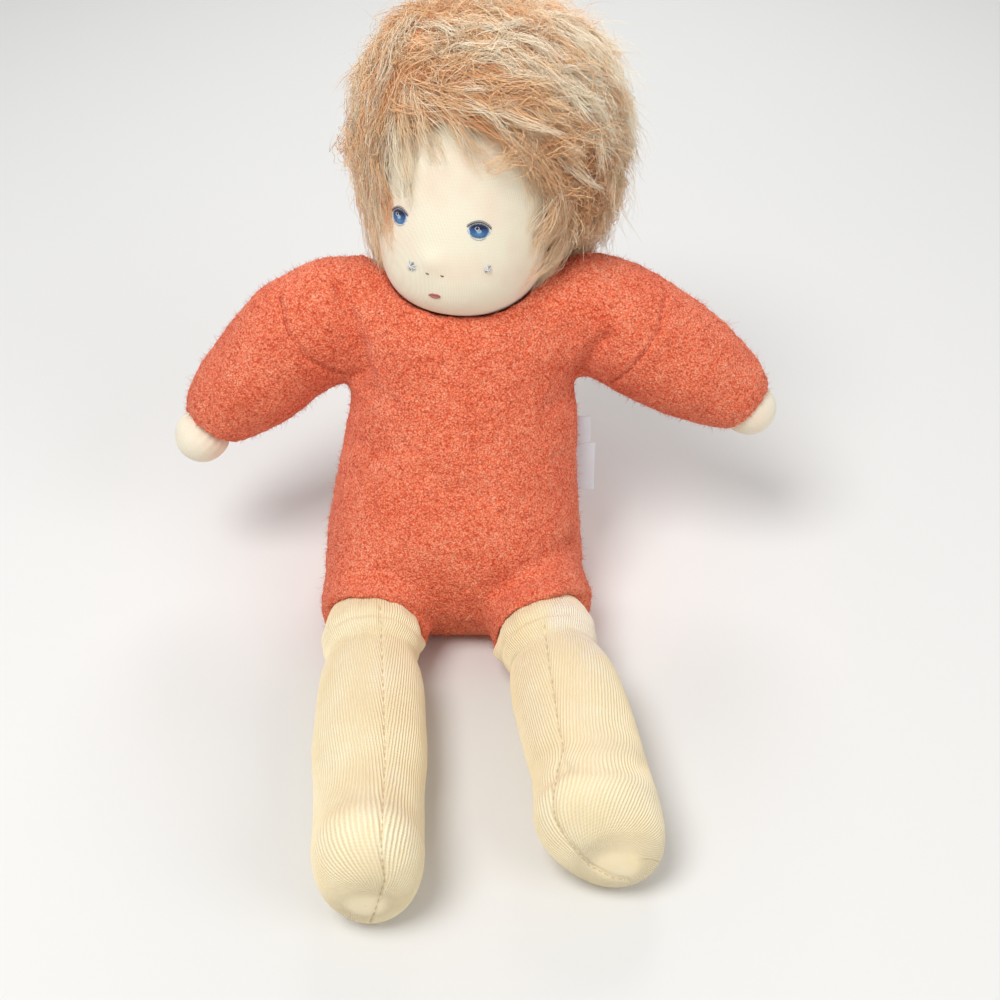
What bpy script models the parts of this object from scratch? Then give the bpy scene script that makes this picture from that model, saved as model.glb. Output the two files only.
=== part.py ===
"""A waldorf doll seated with its legs forward, leaning back a little.

Every sewn skin is a shell, every filling is a solid inside it, and the head, arms and legs
swing on the seams that join them to the body. Lengths are written in millimetres and turned
into metres by MM. X is the viewer's right, the doll faces -Y and sits on Z = 0.
"""
import math
from typing import NamedTuple

import bmesh
import bpy
from mathutils import Matrix, Vector
from mathutils.bvhtree import BVHTree

MM = 0.001
HALF_SHARE = 0.5

# Seat and body
BODY_LEAN_DEG = 20.0
CUT_BLOCK = 400.0
FLEECE = 1.4
JERSEY = 1.0
FIT_GAP = 0.4
COARSE_MARGIN = 0.5

# Roundness of the soft forms
CAGE_SIDES = 12
LIMB_SIDES = 16
BALL_STEPS = 20
HIDDEN_STEPS = 12
ARC_SHARE = 3
PATCH_STEPS = 8
OWN_SHARE = 0.75
NEIGHBOUR_SHARE = 0.125
END_PLACE_SHARES = (0.778, 0.222)
END_SIZE_SHARES = (0.667, 0.222)
STRAIGHT_DEG = 180.0
AXIS_TOLERANCE = 0.00001

# Neck, given along the body's own axis
NECK_HEIGHT = 110.0
NECK_BALL = 13.0
NECK_STEM = 9.5
NECK_STEM_TOP = 24.0
NECK_HOLE = 15.0
NECK_RUNNING_GAP = 0.8
NECK_TIE_HEIGHT = 9.45
HEAD_ROLL_DEG = 7.0
HEAD_YAW_DEG = -18.6

# Head
INNER_HEAD_INSET = 3.4
THREAD = 0.5
THREAD_GAP = 0.35
EYE_LINE = 50.0
CROWN_TIE_FOOT = 2.2
TIE_STEPS = 4
ANGLE_PLACES = 2
EYE_YAW_DEG = 23.5
EYE_HEIGHT = 42.6
MOUTH_HEIGHT = 17.6
MIDLINE_YAW_DEG = 2.0
NOSTRIL_HEIGHT = 25.6
NOSTRIL_YAW_DEG = 4.2
KNOT_HEIGHT = {"right": 26.8, "left": 29.8}
KNOT_YAW_DEG = {"right": 12.5, "left": 31.0}
STITCH_GAP = 0.35
EYE_HALF = Vector((4.3, 3.2, 0.35))
MOUTH_HALF = Vector((2.3, 1.1, 0.35))
NOSTRIL_HALF = Vector((0.6, 0.6, 0.3))
KNOT_HALF = Vector((1.7, 2.1, 0.4))

# Wig
WIG_GAP = 0.4
FACE_OPENING = Vector((0.0, -36.0, 30.0))
FACE_OPENING_HALF = Vector((33.0, 36.0, 32.0))

# Arms
SHOULDER_OUT = 48.5
SHOULDER_HEIGHT = 111.5
ARM_BALL = 20.5
ARM_MIDDLE_DROP_DEG = 20.0
ARM_RIM_DEG = 95.0
ARM_DROP_DEG = {"right": 40.5, "left": 28.0}
ARM_HOLE = 9.0
SOCKET_GAP = 0.9
HAND_ALONG = {"right": 70.0, "left": 72.5}
HAND_RADIUS = 10.8
HAND_SKIN = 0.8
WRIST_STUB = 7.4
WRIST_BACK = 49.5
WRIST_TIE_ALONG = 54.0

# Legs
HIP_OUT = 32.5
HIP_FRONT = -45.0
HIP_HEIGHT = 20.9
LEG_BALL = 17.0
FLANGE_INNER = 17.8
FLANGE_OUTER = 18.4
FLANGE_FRONT_DEG = 76.0
FLANGE_BACK_DEG = 150.0
FLANGE_ARCS = 4
HIP_MIDDLE_DROP_DEG = 17.5
HIP_RIM_DEG = 113.0
HIP_SOCKET_GAP = 0.8
LEG_TURN_DEG = {"right": 3.4, "left": 11.5}
LEG_ROLL_DEG = {"right": 0.0, "left": 42.0}
LEG_HOLE = 8.0

# Labels in the side seam: low end, high end and reach of each
LABEL_THICK = 0.6
LABEL_BED = 0.35
LABEL_BEHIND = 4.0
LABELS = {"label_upper": (61.8, 72.6, 7.0), "label_lower": (41.6, 61.4, 10.0)}

SIDES = {"right": -1.0, "left": 1.0}


class Ring(NamedTuple):
    """One section of a soft form, in millimetres: its centre, its half sizes and its lean."""

    along: float
    half_width: float
    half_depth: float
    behind: float = 0.0
    across: float = 0.0
    lean: float = 0.0


BODY_RINGS = [
    Ring(-0.6, 34, 30, 0),
    Ring(2.5, 46, 38.5, -0.5, 0, -3),
    Ring(17, 52, 42, -1, 0, -8),
    Ring(36, 50, 39, 5, -1, -14),
    Ring(54, 47.4, 34, 14, -1, -18),
    Ring(71, 46.2, 32.5, 24, 1, -20),
    Ring(87, 40.2, 30, 31.5, 0.2, -20),
    Ring(103, 44, 27.5, 37, 0, -20),
    Ring(117, 41, 22, 42, 0, -20),
    Ring(123, 27, 13, 44, 0, -20),
]
HEAD_RINGS = [
    Ring(10.4, 12, 12, -2.5),
    Ring(14.5, 22.5, 24, -5.5, 0, 8),
    Ring(24, 31, 31.5, -5.5, 0, 4),
    Ring(39, 32.5, 33, -5),
    Ring(52, 34.5, 36, -2),
    Ring(68, 39.5, 40.5, 1),
    Ring(84, 39.5, 41.5, 3),
    Ring(98, 31, 34, 3),
    Ring(107, 16, 18, 3),
]
HEAD_ROOM_RINGS = [
    Ring(6.2, 16.5, 17, 0, -0.5),
    Ring(6.8, 19.5, 22.5, -5.5, -1.5),
    Ring(9, 23.5, 27.5, -7, -2.5),
    Ring(13.5, 28.5, 32, -7.2, -3),
    Ring(21, 32.5, 38.5, -5.2, -2.5),
    Ring(25.5, 34.5, 40.5, -4.5, -1.5),
    Ring(36, 36, 42, -3.5, -1),
]
WIG_RINGS = [
    Ring(32, 40, 36, 10, -1, -14),
    Ring(39, 48, 43, 8, -1, -14),
    Ring(54, 52, 47, 5.5, 0, -8),
    Ring(69, 53, 50, 4, 0, -4),
    Ring(87, 51.5, 49.5, 3.5, 0.5),
    Ring(105, 43, 42, 3, 1),
    Ring(119, 24, 25, 3, 2),
]
SLEEVE_RINGS = {
    "right": [
        Ring(7.5, 19.1, 19.1),
        Ring(18.5, 21.6, 21.2, 0, -1.6),
        Ring(31.5, 23.6, 22.2, 0, -3.4),
        Ring(44.5, 23, 21.6, 0, -3.0),
        Ring(55, 19.5, 18.6, 0, -1.6),
        Ring(61, 14.6, 14, 0, -0.4),
        Ring(63.5, 9.7, 9.7),
    ],
    "left": [
        Ring(7.5, 19.1, 19.1),
        Ring(18.5, 21.8, 21.2, 0, -2.4),
        Ring(31.5, 23.6, 22.2, 0, -4.8),
        Ring(45, 23.2, 21.6, 0, -5.2),
        Ring(57, 20, 18.8, 0, -4.2),
        Ring(64, 15.4, 14.6, 0, -2.4),
        Ring(67, 11.2, 10.9, 0, -0.4),
    ],
}
LEG_RINGS = {
    "right": [
        Ring(8.5, 14.7, 14.7, 0),
        Ring(17, 17.8, 17.6, -1.4),
        Ring(32, 19.8, 19.4, -2.2),
        Ring(52, 20, 19.6, -2.0),
        Ring(70, 18.8, 19.2, -2.4),
        Ring(85, 18.2, 21.4, -0.4, 0.5),
        Ring(96, 18.2, 25, 3.2, 0.6),
        Ring(104.5, 16.6, 24.4, 3.6, 0.6),
        Ring(110, 12, 19, 3.6, 0.6),
        Ring(112, 5.5, 10, 3.6, 0.6),
    ],
    "left": [
        Ring(8.5, 14.7, 14.7, 0),
        Ring(17, 18, 17.8, -1.3),
        Ring(30, 20.4, 19.6, -1.6),
        Ring(46, 20.6, 19.8, -1.6),
        Ring(61, 20, 19.6, -1.4),
        Ring(74, 20.4, 21, 0.8, 0, -6),
        Ring(84, 20, 23.6, 3.2, 0, -12),
        Ring(92, 18, 22.4, 3.2, 0, -16),
        Ring(97, 12.4, 16, 2.6, 0, -18),
        Ring(99, 5.5, 8, 2.6, 0, -18),
    ],
}

# Colours of the pieces
FLEECE_COLOUR = (0.60, 0.12, 0.045)
WOOL_COLOUR = (0.80, 0.74, 0.60)
GAUZE_COLOUR = (0.78, 0.72, 0.58)
THREAD_COLOUR = (0.85, 0.80, 0.70)
JERSEY_COLOUR = (0.76, 0.67, 0.50)
RIB_COLOUR = (0.76, 0.56, 0.32)
MOHAIR_COLOUR = (0.62, 0.33, 0.15)
SATIN_COLOUR = (0.80, 0.83, 0.85)
EYE_COLOUR = (0.05, 0.13, 0.28)
MOUTH_COLOUR = (0.55, 0.17, 0.16)
NOSTRIL_COLOUR = (0.45, 0.30, 0.25)
KNOT_COLOUR = (0.85, 0.85, 0.85)
MATT = 0.95
SMOOTH_YARN = 0.6
SATIN = 0.4


def clear_scene():
    """Remove whatever the scene holds."""
    for thing in list(bpy.data.objects):
        bpy.data.objects.remove(thing)


def new_collection(name):
    """A collection linked to the scene."""
    group = bpy.data.collections.new(name)
    bpy.context.scene.collection.children.link(group)
    return group


def finish(name, colour, roughness):
    """A plain material in the piece's own colour."""
    material = bpy.data.materials.new(name)
    material.use_nodes = True
    shader = material.node_tree.nodes["Principled BSDF"]
    shader.inputs["Base Color"].default_value = (*colour, 1.0)
    shader.inputs["Roughness"].default_value = roughness
    shader.inputs["Metallic"].default_value = 0.0
    return material


def place(name, data, group):
    """Put object data in the scene under a name."""
    thing = bpy.data.objects.new(name, data)
    group.objects.link(thing)
    return thing


def from_bmesh(name, shape, group, closed=True):
    """Turn a bmesh into an object; a closed one gets its faces pointing out."""
    if closed:
        bmesh.ops.recalc_face_normals(shape, faces=shape.faces)
    data = bpy.data.meshes.new(name)
    shape.to_mesh(data)
    shape.free()
    return place(name, data, group)


def smoothed(rings):
    """The rings where one round of subdivision would leave them."""
    result = []
    for end, inner in ((rings[0], rings[1]), (rings[-1], rings[-2])):
        place_own, place_next = END_PLACE_SHARES
        size_own, size_next = END_SIZE_SHARES
        moved = [place_own * own + place_next * near for own, near in zip(end, inner)]
        moved[1] = size_own * end.half_width + size_next * inner.half_width
        moved[2] = size_own * end.half_depth + size_next * inner.half_depth
        result.append(Ring(*moved))
    for number in range(1, len(rings) - 1):
        before, own, after = rings[number - 1:number + 2]
        values = [OWN_SHARE * b + NEIGHBOUR_SHARE * (a + c) for a, b, c in zip(before, own, after)]
        result.insert(number, Ring(*values))
    return result


def loft(name, rings, frame, group, sides, reach=1.0, closed=True):
    """Skin the rings in the frame, with a face over each end where it is closed."""
    shape = bmesh.new()
    loops = []
    for ring in rings:
        centre = Vector((ring.across, ring.behind, ring.along)) * MM
        tip = Matrix.Rotation(math.radians(ring.lean), 3, "X")
        loop = []
        for step in range(sides):
            angle = math.tau * (step + HALF_SHARE) / sides
            out = Vector((ring.half_width * math.cos(angle), ring.half_depth * math.sin(angle), 0))
            loop.append(shape.verts.new(frame @ (centre + tip @ (out * MM * reach))))
        loops.append(loop)
    for low, high in zip(loops, loops[1:]):
        for step in range(sides):
            after = (step + 1) % sides
            shape.faces.new((low[step], low[after], high[after], high[step]))
    if closed:
        shape.faces.new(loops[0][::-1])
        shape.faces.new(loops[-1])
    return from_bmesh(name, shape, group, closed)


def push(form, distance):
    """Move a form's surface out by a distance, or in by a negative one."""
    change = form.modifiers.new("push", "DISPLACE")
    change.mid_level = 0.0
    change.strength = distance * MM


def soft_form(name, rings, frame, group):
    """A round closed form: a coarse cage through the rings, subdivided once."""
    reach = 1.0 / math.cos(math.pi / CAGE_SIDES)
    form = loft(name, rings, frame, group, CAGE_SIDES, reach)
    rounding = form.modifiers.new("rounding", "SUBSURF")
    rounding.levels = 1
    rounding.render_levels = 1
    return form


def inner_form(name, rings, frame, group, inset):
    """The coarser closed form that lies inside a soft form."""
    form = loft(name, smoothed(rings), frame, group, CAGE_SIDES)
    push(form, -inset)
    return form


def root_rings(radius, hole, first):
    """Rings of the ball at a limb's root, from the hole at its back to the first ring ahead."""
    back = math.pi - math.asin(hole / radius)
    front = math.acos(first.along / radius)
    steps = BALL_STEPS // ARC_SHARE - 1
    rings = []
    for step in range(steps + 1):
        angle = back + (front - back) * step / steps
        across = radius * math.sin(angle)
        rings.append(Ring(radius * math.cos(angle), across, across))
    return rings


def ball(name, radius, frame, group, steps=BALL_STEPS):
    """A faceted ball about the frame's origin."""
    shape = bmesh.new()
    half_step = Matrix.Rotation(math.pi / steps, 4, "Z")
    bmesh.ops.create_uvsphere(
        shape, u_segments=steps, v_segments=steps // 2, radius=radius * MM, matrix=frame @ half_step
    )
    return from_bmesh(name, shape, group)


def turned(name, points, frame, group, steps=BALL_STEPS):
    """A profile of (radius, height) points turned about the frame's Z."""
    shape = bmesh.new()
    corners = [shape.verts.new(Vector((radius, 0, height)) * MM) for radius, height in points]
    for start, end in zip(corners, corners[1:]):
        shape.edges.new((start, end))
    data = bpy.data.meshes.new(name)
    shape.to_mesh(data)
    shape.free()
    thing = place(name, data, group)
    turn = thing.modifiers.new("turn", "SCREW")
    turn.steps = steps
    turn.render_steps = steps
    turn.use_merge_vertices = True
    turn.merge_threshold = 0.00001
    turn.use_normal_calculate = True
    thing.matrix_world = frame
    return thing


def arc(radius, start_deg, end_deg, steps):
    """Profile points of an arc about the origin, by angle from the frame's Z."""
    points = []
    for step in range(steps + 1):
        angle = math.radians(start_deg + (end_deg - start_deg) * step / steps)
        across = radius * math.sin(angle)
        points.append((0.0 if across < AXIS_TOLERANCE else across, radius * math.cos(angle)))
    return points


def ball_sector(name, radius, rim_deg, frame, group):
    """The part of a ball that lies more than rim_deg from the frame's Z, as a turned solid."""
    points = [(0.0, 0.0)] + arc(radius, rim_deg, STRAIGHT_DEG, BALL_STEPS // ARC_SHARE)
    return turned(name, points, frame, group)


def rod(name, radius, low, high, frame, group, steps=BALL_STEPS):
    """A round rod along the frame's Z from low to high."""
    shape = bmesh.new()
    middle = Matrix.Translation((0, 0, (low + high) * HALF_SHARE * MM))
    bmesh.ops.create_cone(
        shape,
        cap_ends=True,
        segments=steps,
        radius1=radius * MM,
        radius2=radius * MM,
        depth=(high - low) * MM,
        matrix=frame @ middle,
    )
    return from_bmesh(name, shape, group)


def boolean(target, other, operation):
    """Join or cut with another object, which becomes a hidden cutter."""
    change = target.modifiers.new(other.name, "BOOLEAN")
    change.operation = operation
    change.solver = "EXACT"
    change.object = other
    other.hide_render = True
    other.display_type = "WIRE"


def seat_block(group):
    """The block below the floor that flattens what rests on it."""
    shape = bmesh.new()
    depth = CUT_BLOCK * MM
    bmesh.ops.create_cube(shape, size=depth)
    bmesh.ops.translate(shape, verts=shape.verts, vec=(0, 0, -depth * HALF_SHARE))
    return from_bmesh("below_the_floor", shape, group)


def body_point(across, behind, height):
    """A point given in the leaning body's own directions, in metres."""
    lean = Matrix.Rotation(-math.radians(BODY_LEAN_DEG), 3, "X")
    return lean @ Vector((across, behind, height)) * MM


BODY_BACK = body_point(0, 1, 0).normalized()
FORWARD = Vector((0, -1, 0))
UP = Vector((0, 0, 1))


def neck_frame():
    """Origin on the nod axis, Z up the neck."""
    tilt = Matrix.Rotation(-math.radians(BODY_LEAN_DEG), 4, "X")
    roll = Matrix.Rotation(math.radians(HEAD_ROLL_DEG), 4, "Y")
    return Matrix.Translation(body_point(0, 0, NECK_HEIGHT)) @ tilt @ roll


def head_frame():
    """The neck frame turned so that -Y looks where the face looks."""
    return neck_frame() @ Matrix.Rotation(math.radians(HEAD_YAW_DEG), 4, "Z")


def shoulder_frame(side, drop_deg):
    """Origin at the shoulder, Z along an arm that drops by drop_deg, Y towards the back."""
    drop = math.radians(drop_deg)
    along = body_point(SIDES[side] * math.cos(drop), 0, -math.sin(drop)).normalized()
    origin = body_point(SIDES[side] * SHOULDER_OUT, 0, SHOULDER_HEIGHT)
    x = BODY_BACK.cross(along) * SIDES[side]
    y = along.cross(x)
    return Matrix.Translation(origin) @ Matrix((x, y, along)).transposed().to_4x4()


def hip_frame(side, turn_deg, drop_deg, roll_deg):
    """Origin at the hip, Z along the leg, Y towards the top of the leg before it rolls."""
    turn = Matrix.Rotation(math.radians(turn_deg), 3, "Z")
    drop = Matrix.Rotation(math.radians(drop_deg), 3, "X")
    along = (turn @ drop @ FORWARD).normalized()
    origin = Vector((SIDES[side] * HIP_OUT, HIP_FRONT, HIP_HEIGHT)) * MM
    x = UP.cross(along).normalized()
    y = along.cross(x)
    base = Matrix.Translation(origin) @ Matrix((x, y, along)).transposed().to_4x4()
    return base @ Matrix.Rotation(math.radians(roll_deg), 4, "Z")


def seat_on(form, origin, direction):
    """Where a ray meets a form, and the surface's direction there."""
    bpy.context.view_layer.update()
    tree = BVHTree.FromObject(form, bpy.context.evaluated_depsgraph_get())
    point, normal, _, _ = tree.ray_cast(origin, direction)
    return point, normal


def add_sockets(body, group):
    """Thin fleece round each shoulder and hip; returns where each ball turns and how wide."""
    sockets = []
    for side in SIDES:
        arm = shoulder_frame(side, ARM_MIDDLE_DROP_DEG)
        leg = hip_frame(side, LEG_TURN_DEG[side], HIP_MIDDLE_DROP_DEG, 0.0)
        for name, frame, room, rim in (
            (f"shoulder_{side}", arm, ARM_BALL + SOCKET_GAP, ARM_RIM_DEG),
            (f"hip_{side}", leg, FLANGE_OUTER + HIP_SOCKET_GAP, HIP_RIM_DEG),
        ):
            boolean(body, ball_sector(f"{name}_round", room + FLEECE, rim, frame, group), "UNION")
            sockets.append((name, frame, room))
    return sockets


def make_body(group, cutters):
    """The fleece suit as a shell open at the neck, and its wool filling."""
    world = Matrix.Identity(4)
    body = soft_form("body_skin", BODY_RINGS, world, group)
    sockets = add_sockets(body, cutters)
    cavity = inner_form("body_cavity", BODY_RINGS, world, cutters, FLEECE + COARSE_MARGIN)
    inset = FLEECE + COARSE_MARGIN + FIT_GAP
    filling = inner_form("body_stuffing", BODY_RINGS, world, group, inset)
    neck = neck_frame()
    wall = FLEECE + COARSE_MARGIN
    clear = wall + FIT_GAP + FIT_GAP
    for target, room in ((body, 0.0), (cavity, wall), (filling, clear)):
        hollow = loft(f"head_room_in_{target.name}", HEAD_ROOM_RINGS, neck, cutters, LIMB_SIDES)
        push(hollow, room)
        boolean(target, hollow, "DIFFERENCE")
    for name, frame, room in sockets:
        boolean(body, ball(f"{name}_socket", room, frame, cutters), "DIFFERENCE")
        wall = room / math.cos(math.pi / HIDDEN_STEPS) ** 2 + FLEECE
        boolean(cavity, ball(f"{name}_wall", wall, frame, cutters, HIDDEN_STEPS), "DIFFERENCE")
        clear = wall + FIT_GAP
        boolean(filling, ball(f"{name}_clear", clear, frame, cutters, HIDDEN_STEPS), "DIFFERENCE")
    boolean(body, cavity, "DIFFERENCE")
    room = NECK_BALL + NECK_RUNNING_GAP
    boolean(body, rod("neck_hole", NECK_HOLE, 0, NECK_STEM_TOP, neck, cutters), "DIFFERENCE")
    boolean(filling, ball("neck_socket", room, neck, cutters), "DIFFERENCE")
    throat = rod("neck_throat", room, 0, NECK_STEM_TOP, neck, cutters, HIDDEN_STEPS)
    boolean(filling, throat, "DIFFERENCE")
    floor = seat_block(cutters)
    boolean(body, floor, "DIFFERENCE")
    body.data.materials.append(finish("orange_fleece", FLEECE_COLOUR, MATT))
    filling.data.materials.append(finish("body_wool", WOOL_COLOUR, MATT))
    return [body, filling], floor


def make_neck(group):
    """The wool roll that carries the head, and the thread tied round it."""
    frame = neck_frame()
    shoulder = math.degrees(math.asin(NECK_STEM / NECK_BALL))
    points = [(0.0, NECK_STEM_TOP), (NECK_STEM, NECK_STEM_TOP)]
    points += arc(NECK_BALL, shoulder, STRAIGHT_DEG, BALL_STEPS // ARC_SHARE)
    roll = turned("neck_roll", points, frame, group)
    tie_at = frame @ Matrix.Translation((0, 0, NECK_TIE_HEIGHT * MM))
    tie = ring_thread("neck_tie", NECK_STEM + THREAD + THREAD_GAP, tie_at, group)
    roll.data.materials.append(finish("neck_gauze", GAUZE_COLOUR, MATT))
    return [roll, tie]


def ring_thread(name, radius, frame, group):
    """A closed ring of thread about the frame's Z."""
    bpy.ops.mesh.primitive_torus_add(
        major_segments=LIMB_SIDES,
        minor_segments=TIE_STEPS,
        major_radius=radius * MM,
        minor_radius=THREAD * MM,
    )
    ring = bpy.context.active_object
    ring.name = name
    for held_by in list(ring.users_collection):
        held_by.objects.unlink(ring)
    group.objects.link(ring)
    ring.matrix_world = frame
    ring.data.materials.append(finish(f"{name}_thread", THREAD_COLOUR, SMOOTH_YARN))
    return ring


def section_points(form, origin, normal):
    """Corners of the line where a plane cuts a form, in the world."""
    bpy.context.view_layer.update()
    ready = form.evaluated_get(bpy.context.evaluated_depsgraph_get())
    shape = bmesh.new()
    shape.from_mesh(ready.to_mesh())
    ready.to_mesh_clear()
    geometry = shape.verts[:] + shape.edges[:] + shape.faces[:]
    cut = bmesh.ops.bisect_plane(shape, geom=geometry, plane_co=origin, plane_no=normal)
    points = [item.co.copy() for item in cut["geom_cut"] if isinstance(item, bmesh.types.BMVert)]
    shape.free()
    return points


def thread_along(name, points, closed, group):
    """A thread laid along points, as a tube."""
    data = bpy.data.curves.new(name, "CURVE")
    data.dimensions = "3D"
    data.bevel_depth = THREAD * MM
    data.bevel_resolution = 0
    data.use_fill_caps = True
    line = data.splines.new("POLY")
    line.points.add(len(points) - 1)
    for corner, point in zip(line.points, points):
        corner.co = (*point, 1.0)
    line.use_cyclic_u = closed
    drawn = place(f"{name}_line", data, group)
    bpy.context.view_layer.update()
    ready = drawn.evaluated_get(bpy.context.evaluated_depsgraph_get())
    shape = bmesh.new()
    shape.from_mesh(ready.to_mesh())
    ready.to_mesh_clear()
    bpy.data.objects.remove(drawn)
    bmesh.ops.remove_doubles(shape, verts=shape.verts, dist=AXIS_TOLERANCE)
    thread = from_bmesh(name, shape, group)
    thread.data.materials.append(finish(f"{name}_thread", THREAD_COLOUR, SMOOTH_YARN))
    return thread


def make_ties(inner, group):
    """The thread that ties the eye line and the one over the crown from ear to ear."""
    frame = head_frame()
    back = frame.inverted()
    lift = (THREAD * math.sqrt(2.0) + THREAD_GAP) * MM
    foot = Vector((0, 0, EYE_LINE + CROWN_TIE_FOOT)) * MM
    heart = Vector((0, 0, EYE_LINE)) * MM
    across, upward, behind = (Vector(axis) for axis in ((1, 0, 0), (0, 0, 1), (0, 1, 0)))
    threads = []
    for name, normal, start, second in (
        ("eye_line_tie", upward, heart, behind),
        ("crown_tie", behind, foot, upward),
    ):
        cut = section_points(inner, frame @ heart, frame.to_3x3() @ normal)
        around = {}
        for point in cut:
            ray = back @ point - start
            angle = math.atan2(ray.dot(second), ray.dot(across))
            if name == "eye_line_tie" or angle > 0:
                around[round(angle, ANGLE_PLACES)] = start + ray + ray.normalized() * lift
        points = [frame @ around[angle] for angle in sorted(around)]
        threads.append(thread_along(name, points, name == "eye_line_tie", group))
    return threads


def stitch(name, skin, yaw_deg, height, half, colour, group):
    """A small raised patch of stitches seated on the face."""
    frame = head_frame()
    yaw = math.radians(yaw_deg)
    origin = frame @ (Vector((0, 0, height)) * MM)
    direction = frame.to_3x3() @ Vector((math.sin(yaw), -math.cos(yaw), 0))
    point, normal = seat_on(skin, origin, direction)
    x = (frame.to_3x3() @ Vector((0, 0, 1))).cross(normal).normalized()
    turn = Matrix((x, normal.cross(x), normal)).transposed().to_4x4()
    at = Matrix.Translation(point + normal * (STITCH_GAP + half.z) * MM) @ turn
    patch = ball(name, 1.0, Matrix.Identity(4), group, PATCH_STEPS)
    patch.data.transform(Matrix.Diagonal((*half, 1.0)))
    patch.matrix_world = at
    patch.data.materials.append(finish(f"{name}_thread", colour, SMOOTH_YARN))
    return patch


def make_face(skin, group):
    """Eyes, mouth, nostril stitches and the two white knots on the cheeks."""
    pieces = [stitch("mouth", skin, MIDLINE_YAW_DEG, MOUTH_HEIGHT, MOUTH_HALF, MOUTH_COLOUR, group)]
    for side, sign in SIDES.items():
        eye = stitch(f"eye_{side}", skin, sign * EYE_YAW_DEG, EYE_HEIGHT, EYE_HALF,
                     EYE_COLOUR, group)
        nostril = stitch(f"nostril_{side}", skin, MIDLINE_YAW_DEG + sign * NOSTRIL_YAW_DEG,
                         NOSTRIL_HEIGHT, NOSTRIL_HALF, NOSTRIL_COLOUR, group)
        knot = stitch(f"cheek_knot_{side}", skin, sign * KNOT_YAW_DEG[side], KNOT_HEIGHT[side],
                      KNOT_HALF, KNOT_COLOUR, group)
        pieces += [eye, nostril, knot]
    return pieces


def make_head(group, cutters):
    """Jersey head skin as a shell open at the neck, with the firm inner head in it."""
    frame = head_frame()
    neck = neck_frame()
    skin = soft_form("head_skin", HEAD_RINGS, frame, group)
    pieces = make_face(skin, group)
    cavity = inner_form("head_cavity", HEAD_RINGS, frame, cutters, JERSEY + COARSE_MARGIN)
    boolean(skin, cavity, "DIFFERENCE")
    bore = rod("head_bore", NECK_STEM + NECK_RUNNING_GAP, 0, NECK_STEM_TOP + FIT_GAP, neck, cutters)
    boolean(skin, bore, "DIFFERENCE")
    inner = inner_form("inner_head", HEAD_RINGS, frame, group, INNER_HEAD_INSET)
    pieces += make_ties(inner, group)
    boolean(inner, bore, "DIFFERENCE")
    skin.data.materials.append(finish("cream_jersey", JERSEY_COLOUR, MATT))
    inner.data.materials.append(finish("inner_head_wool", WOOL_COLOUR, MATT))
    return [skin, inner] + pieces


def make_wig(group, cutters):
    """The wig as one cap with the whole outline of its pile, open over the face."""
    frame = head_frame()
    wig = soft_form("wig", WIG_RINGS, frame, group)
    opening = ball("face_opening", 1.0, Matrix.Identity(4), cutters, HIDDEN_STEPS)
    scale = Matrix.Diagonal((*FACE_OPENING_HALF, 1.0))
    opening.data.transform(frame @ Matrix.Translation(FACE_OPENING * MM) @ scale)
    boolean(wig, opening, "DIFFERENCE")
    room = soft_form("room_for_head", HEAD_RINGS, frame, cutters)
    push(room, WIG_GAP)
    boolean(wig, room, "DIFFERENCE")
    wig.data.materials.append(finish("ginger_mohair", MOHAIR_COLOUR, MATT))
    return wig


def shell(name, rings, frame, group, thickness, closed_end):
    """An open-backed limb skin of a thickness, through the rings."""
    form = loft(name, rings, frame, group, LIMB_SIDES, closed=False)
    if closed_end:
        shape = bmesh.new()
        shape.from_mesh(form.data)
        shape.verts.ensure_lookup_table()
        shape.faces.new(shape.verts[-LIMB_SIDES:])
        shape.to_mesh(form.data)
        shape.free()
    fabric = form.modifiers.new("fabric", "SOLIDIFY")
    fabric.thickness = thickness * MM
    fabric.offset = -1.0
    return form


def make_arm(side, group):
    """Sleeve shell, wool filling, jersey hand with its filling, and the wrist thread."""
    frame = shoulder_frame(side, ARM_DROP_DEG[side])
    outline = SLEEVE_RINGS[side]
    rings = root_rings(ARM_BALL, ARM_HOLE, outline[0])[:-1] + outline
    sleeve = shell(f"sleeve_{side}", rings, frame, group, FLEECE, False)
    inner = [ring for ring in rings if ring.along < WRIST_BACK]
    filling = loft(f"arm_stuffing_{side}", inner, frame, group, LIMB_SIDES)
    push(filling, -FLEECE - FIT_GAP - COARSE_MARGIN)
    hand_at = frame @ Matrix.Translation((0, 0, HAND_ALONG[side] * MM))
    stub_end = WRIST_BACK - HAND_ALONG[side] + FLEECE
    outer, inside = HAND_RADIUS, HAND_RADIUS - HAND_SKIN
    outer_deg = STRAIGHT_DEG - math.degrees(math.asin(WRIST_STUB / outer))
    inside_deg = STRAIGHT_DEG - math.degrees(math.asin((WRIST_STUB - HAND_SKIN) / inside))
    points = arc(outer, 0, outer_deg, BALL_STEPS // ARC_SHARE)
    points += [(WRIST_STUB, stub_end), (WRIST_STUB - HAND_SKIN, stub_end)]
    points += arc(inside, inside_deg, 0, BALL_STEPS // ARC_SHARE)
    hand = turned(f"hand_skin_{side}", points, hand_at, group, LIMB_SIDES)
    wool = ball(f"hand_stuffing_{side}", inside - FIT_GAP, hand_at, group, HIDDEN_STEPS)
    tie_at = frame @ Matrix.Translation((0, 0, WRIST_TIE_ALONG * MM))
    tie = ring_thread(f"wrist_tie_{side}", WRIST_STUB + THREAD + THREAD_GAP, tie_at, group)
    sleeve.data.materials.append(finish(f"orange_sleeve_{side}", FLEECE_COLOUR, MATT))
    filling.data.materials.append(finish(f"arm_wool_{side}", WOOL_COLOUR, MATT))
    hand.data.materials.append(finish(f"hand_jersey_{side}", JERSEY_COLOUR, MATT))
    wool.data.materials.append(finish(f"hand_wool_{side}", WOOL_COLOUR, MATT))
    return [sleeve, filling, hand, wool, tie]


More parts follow.
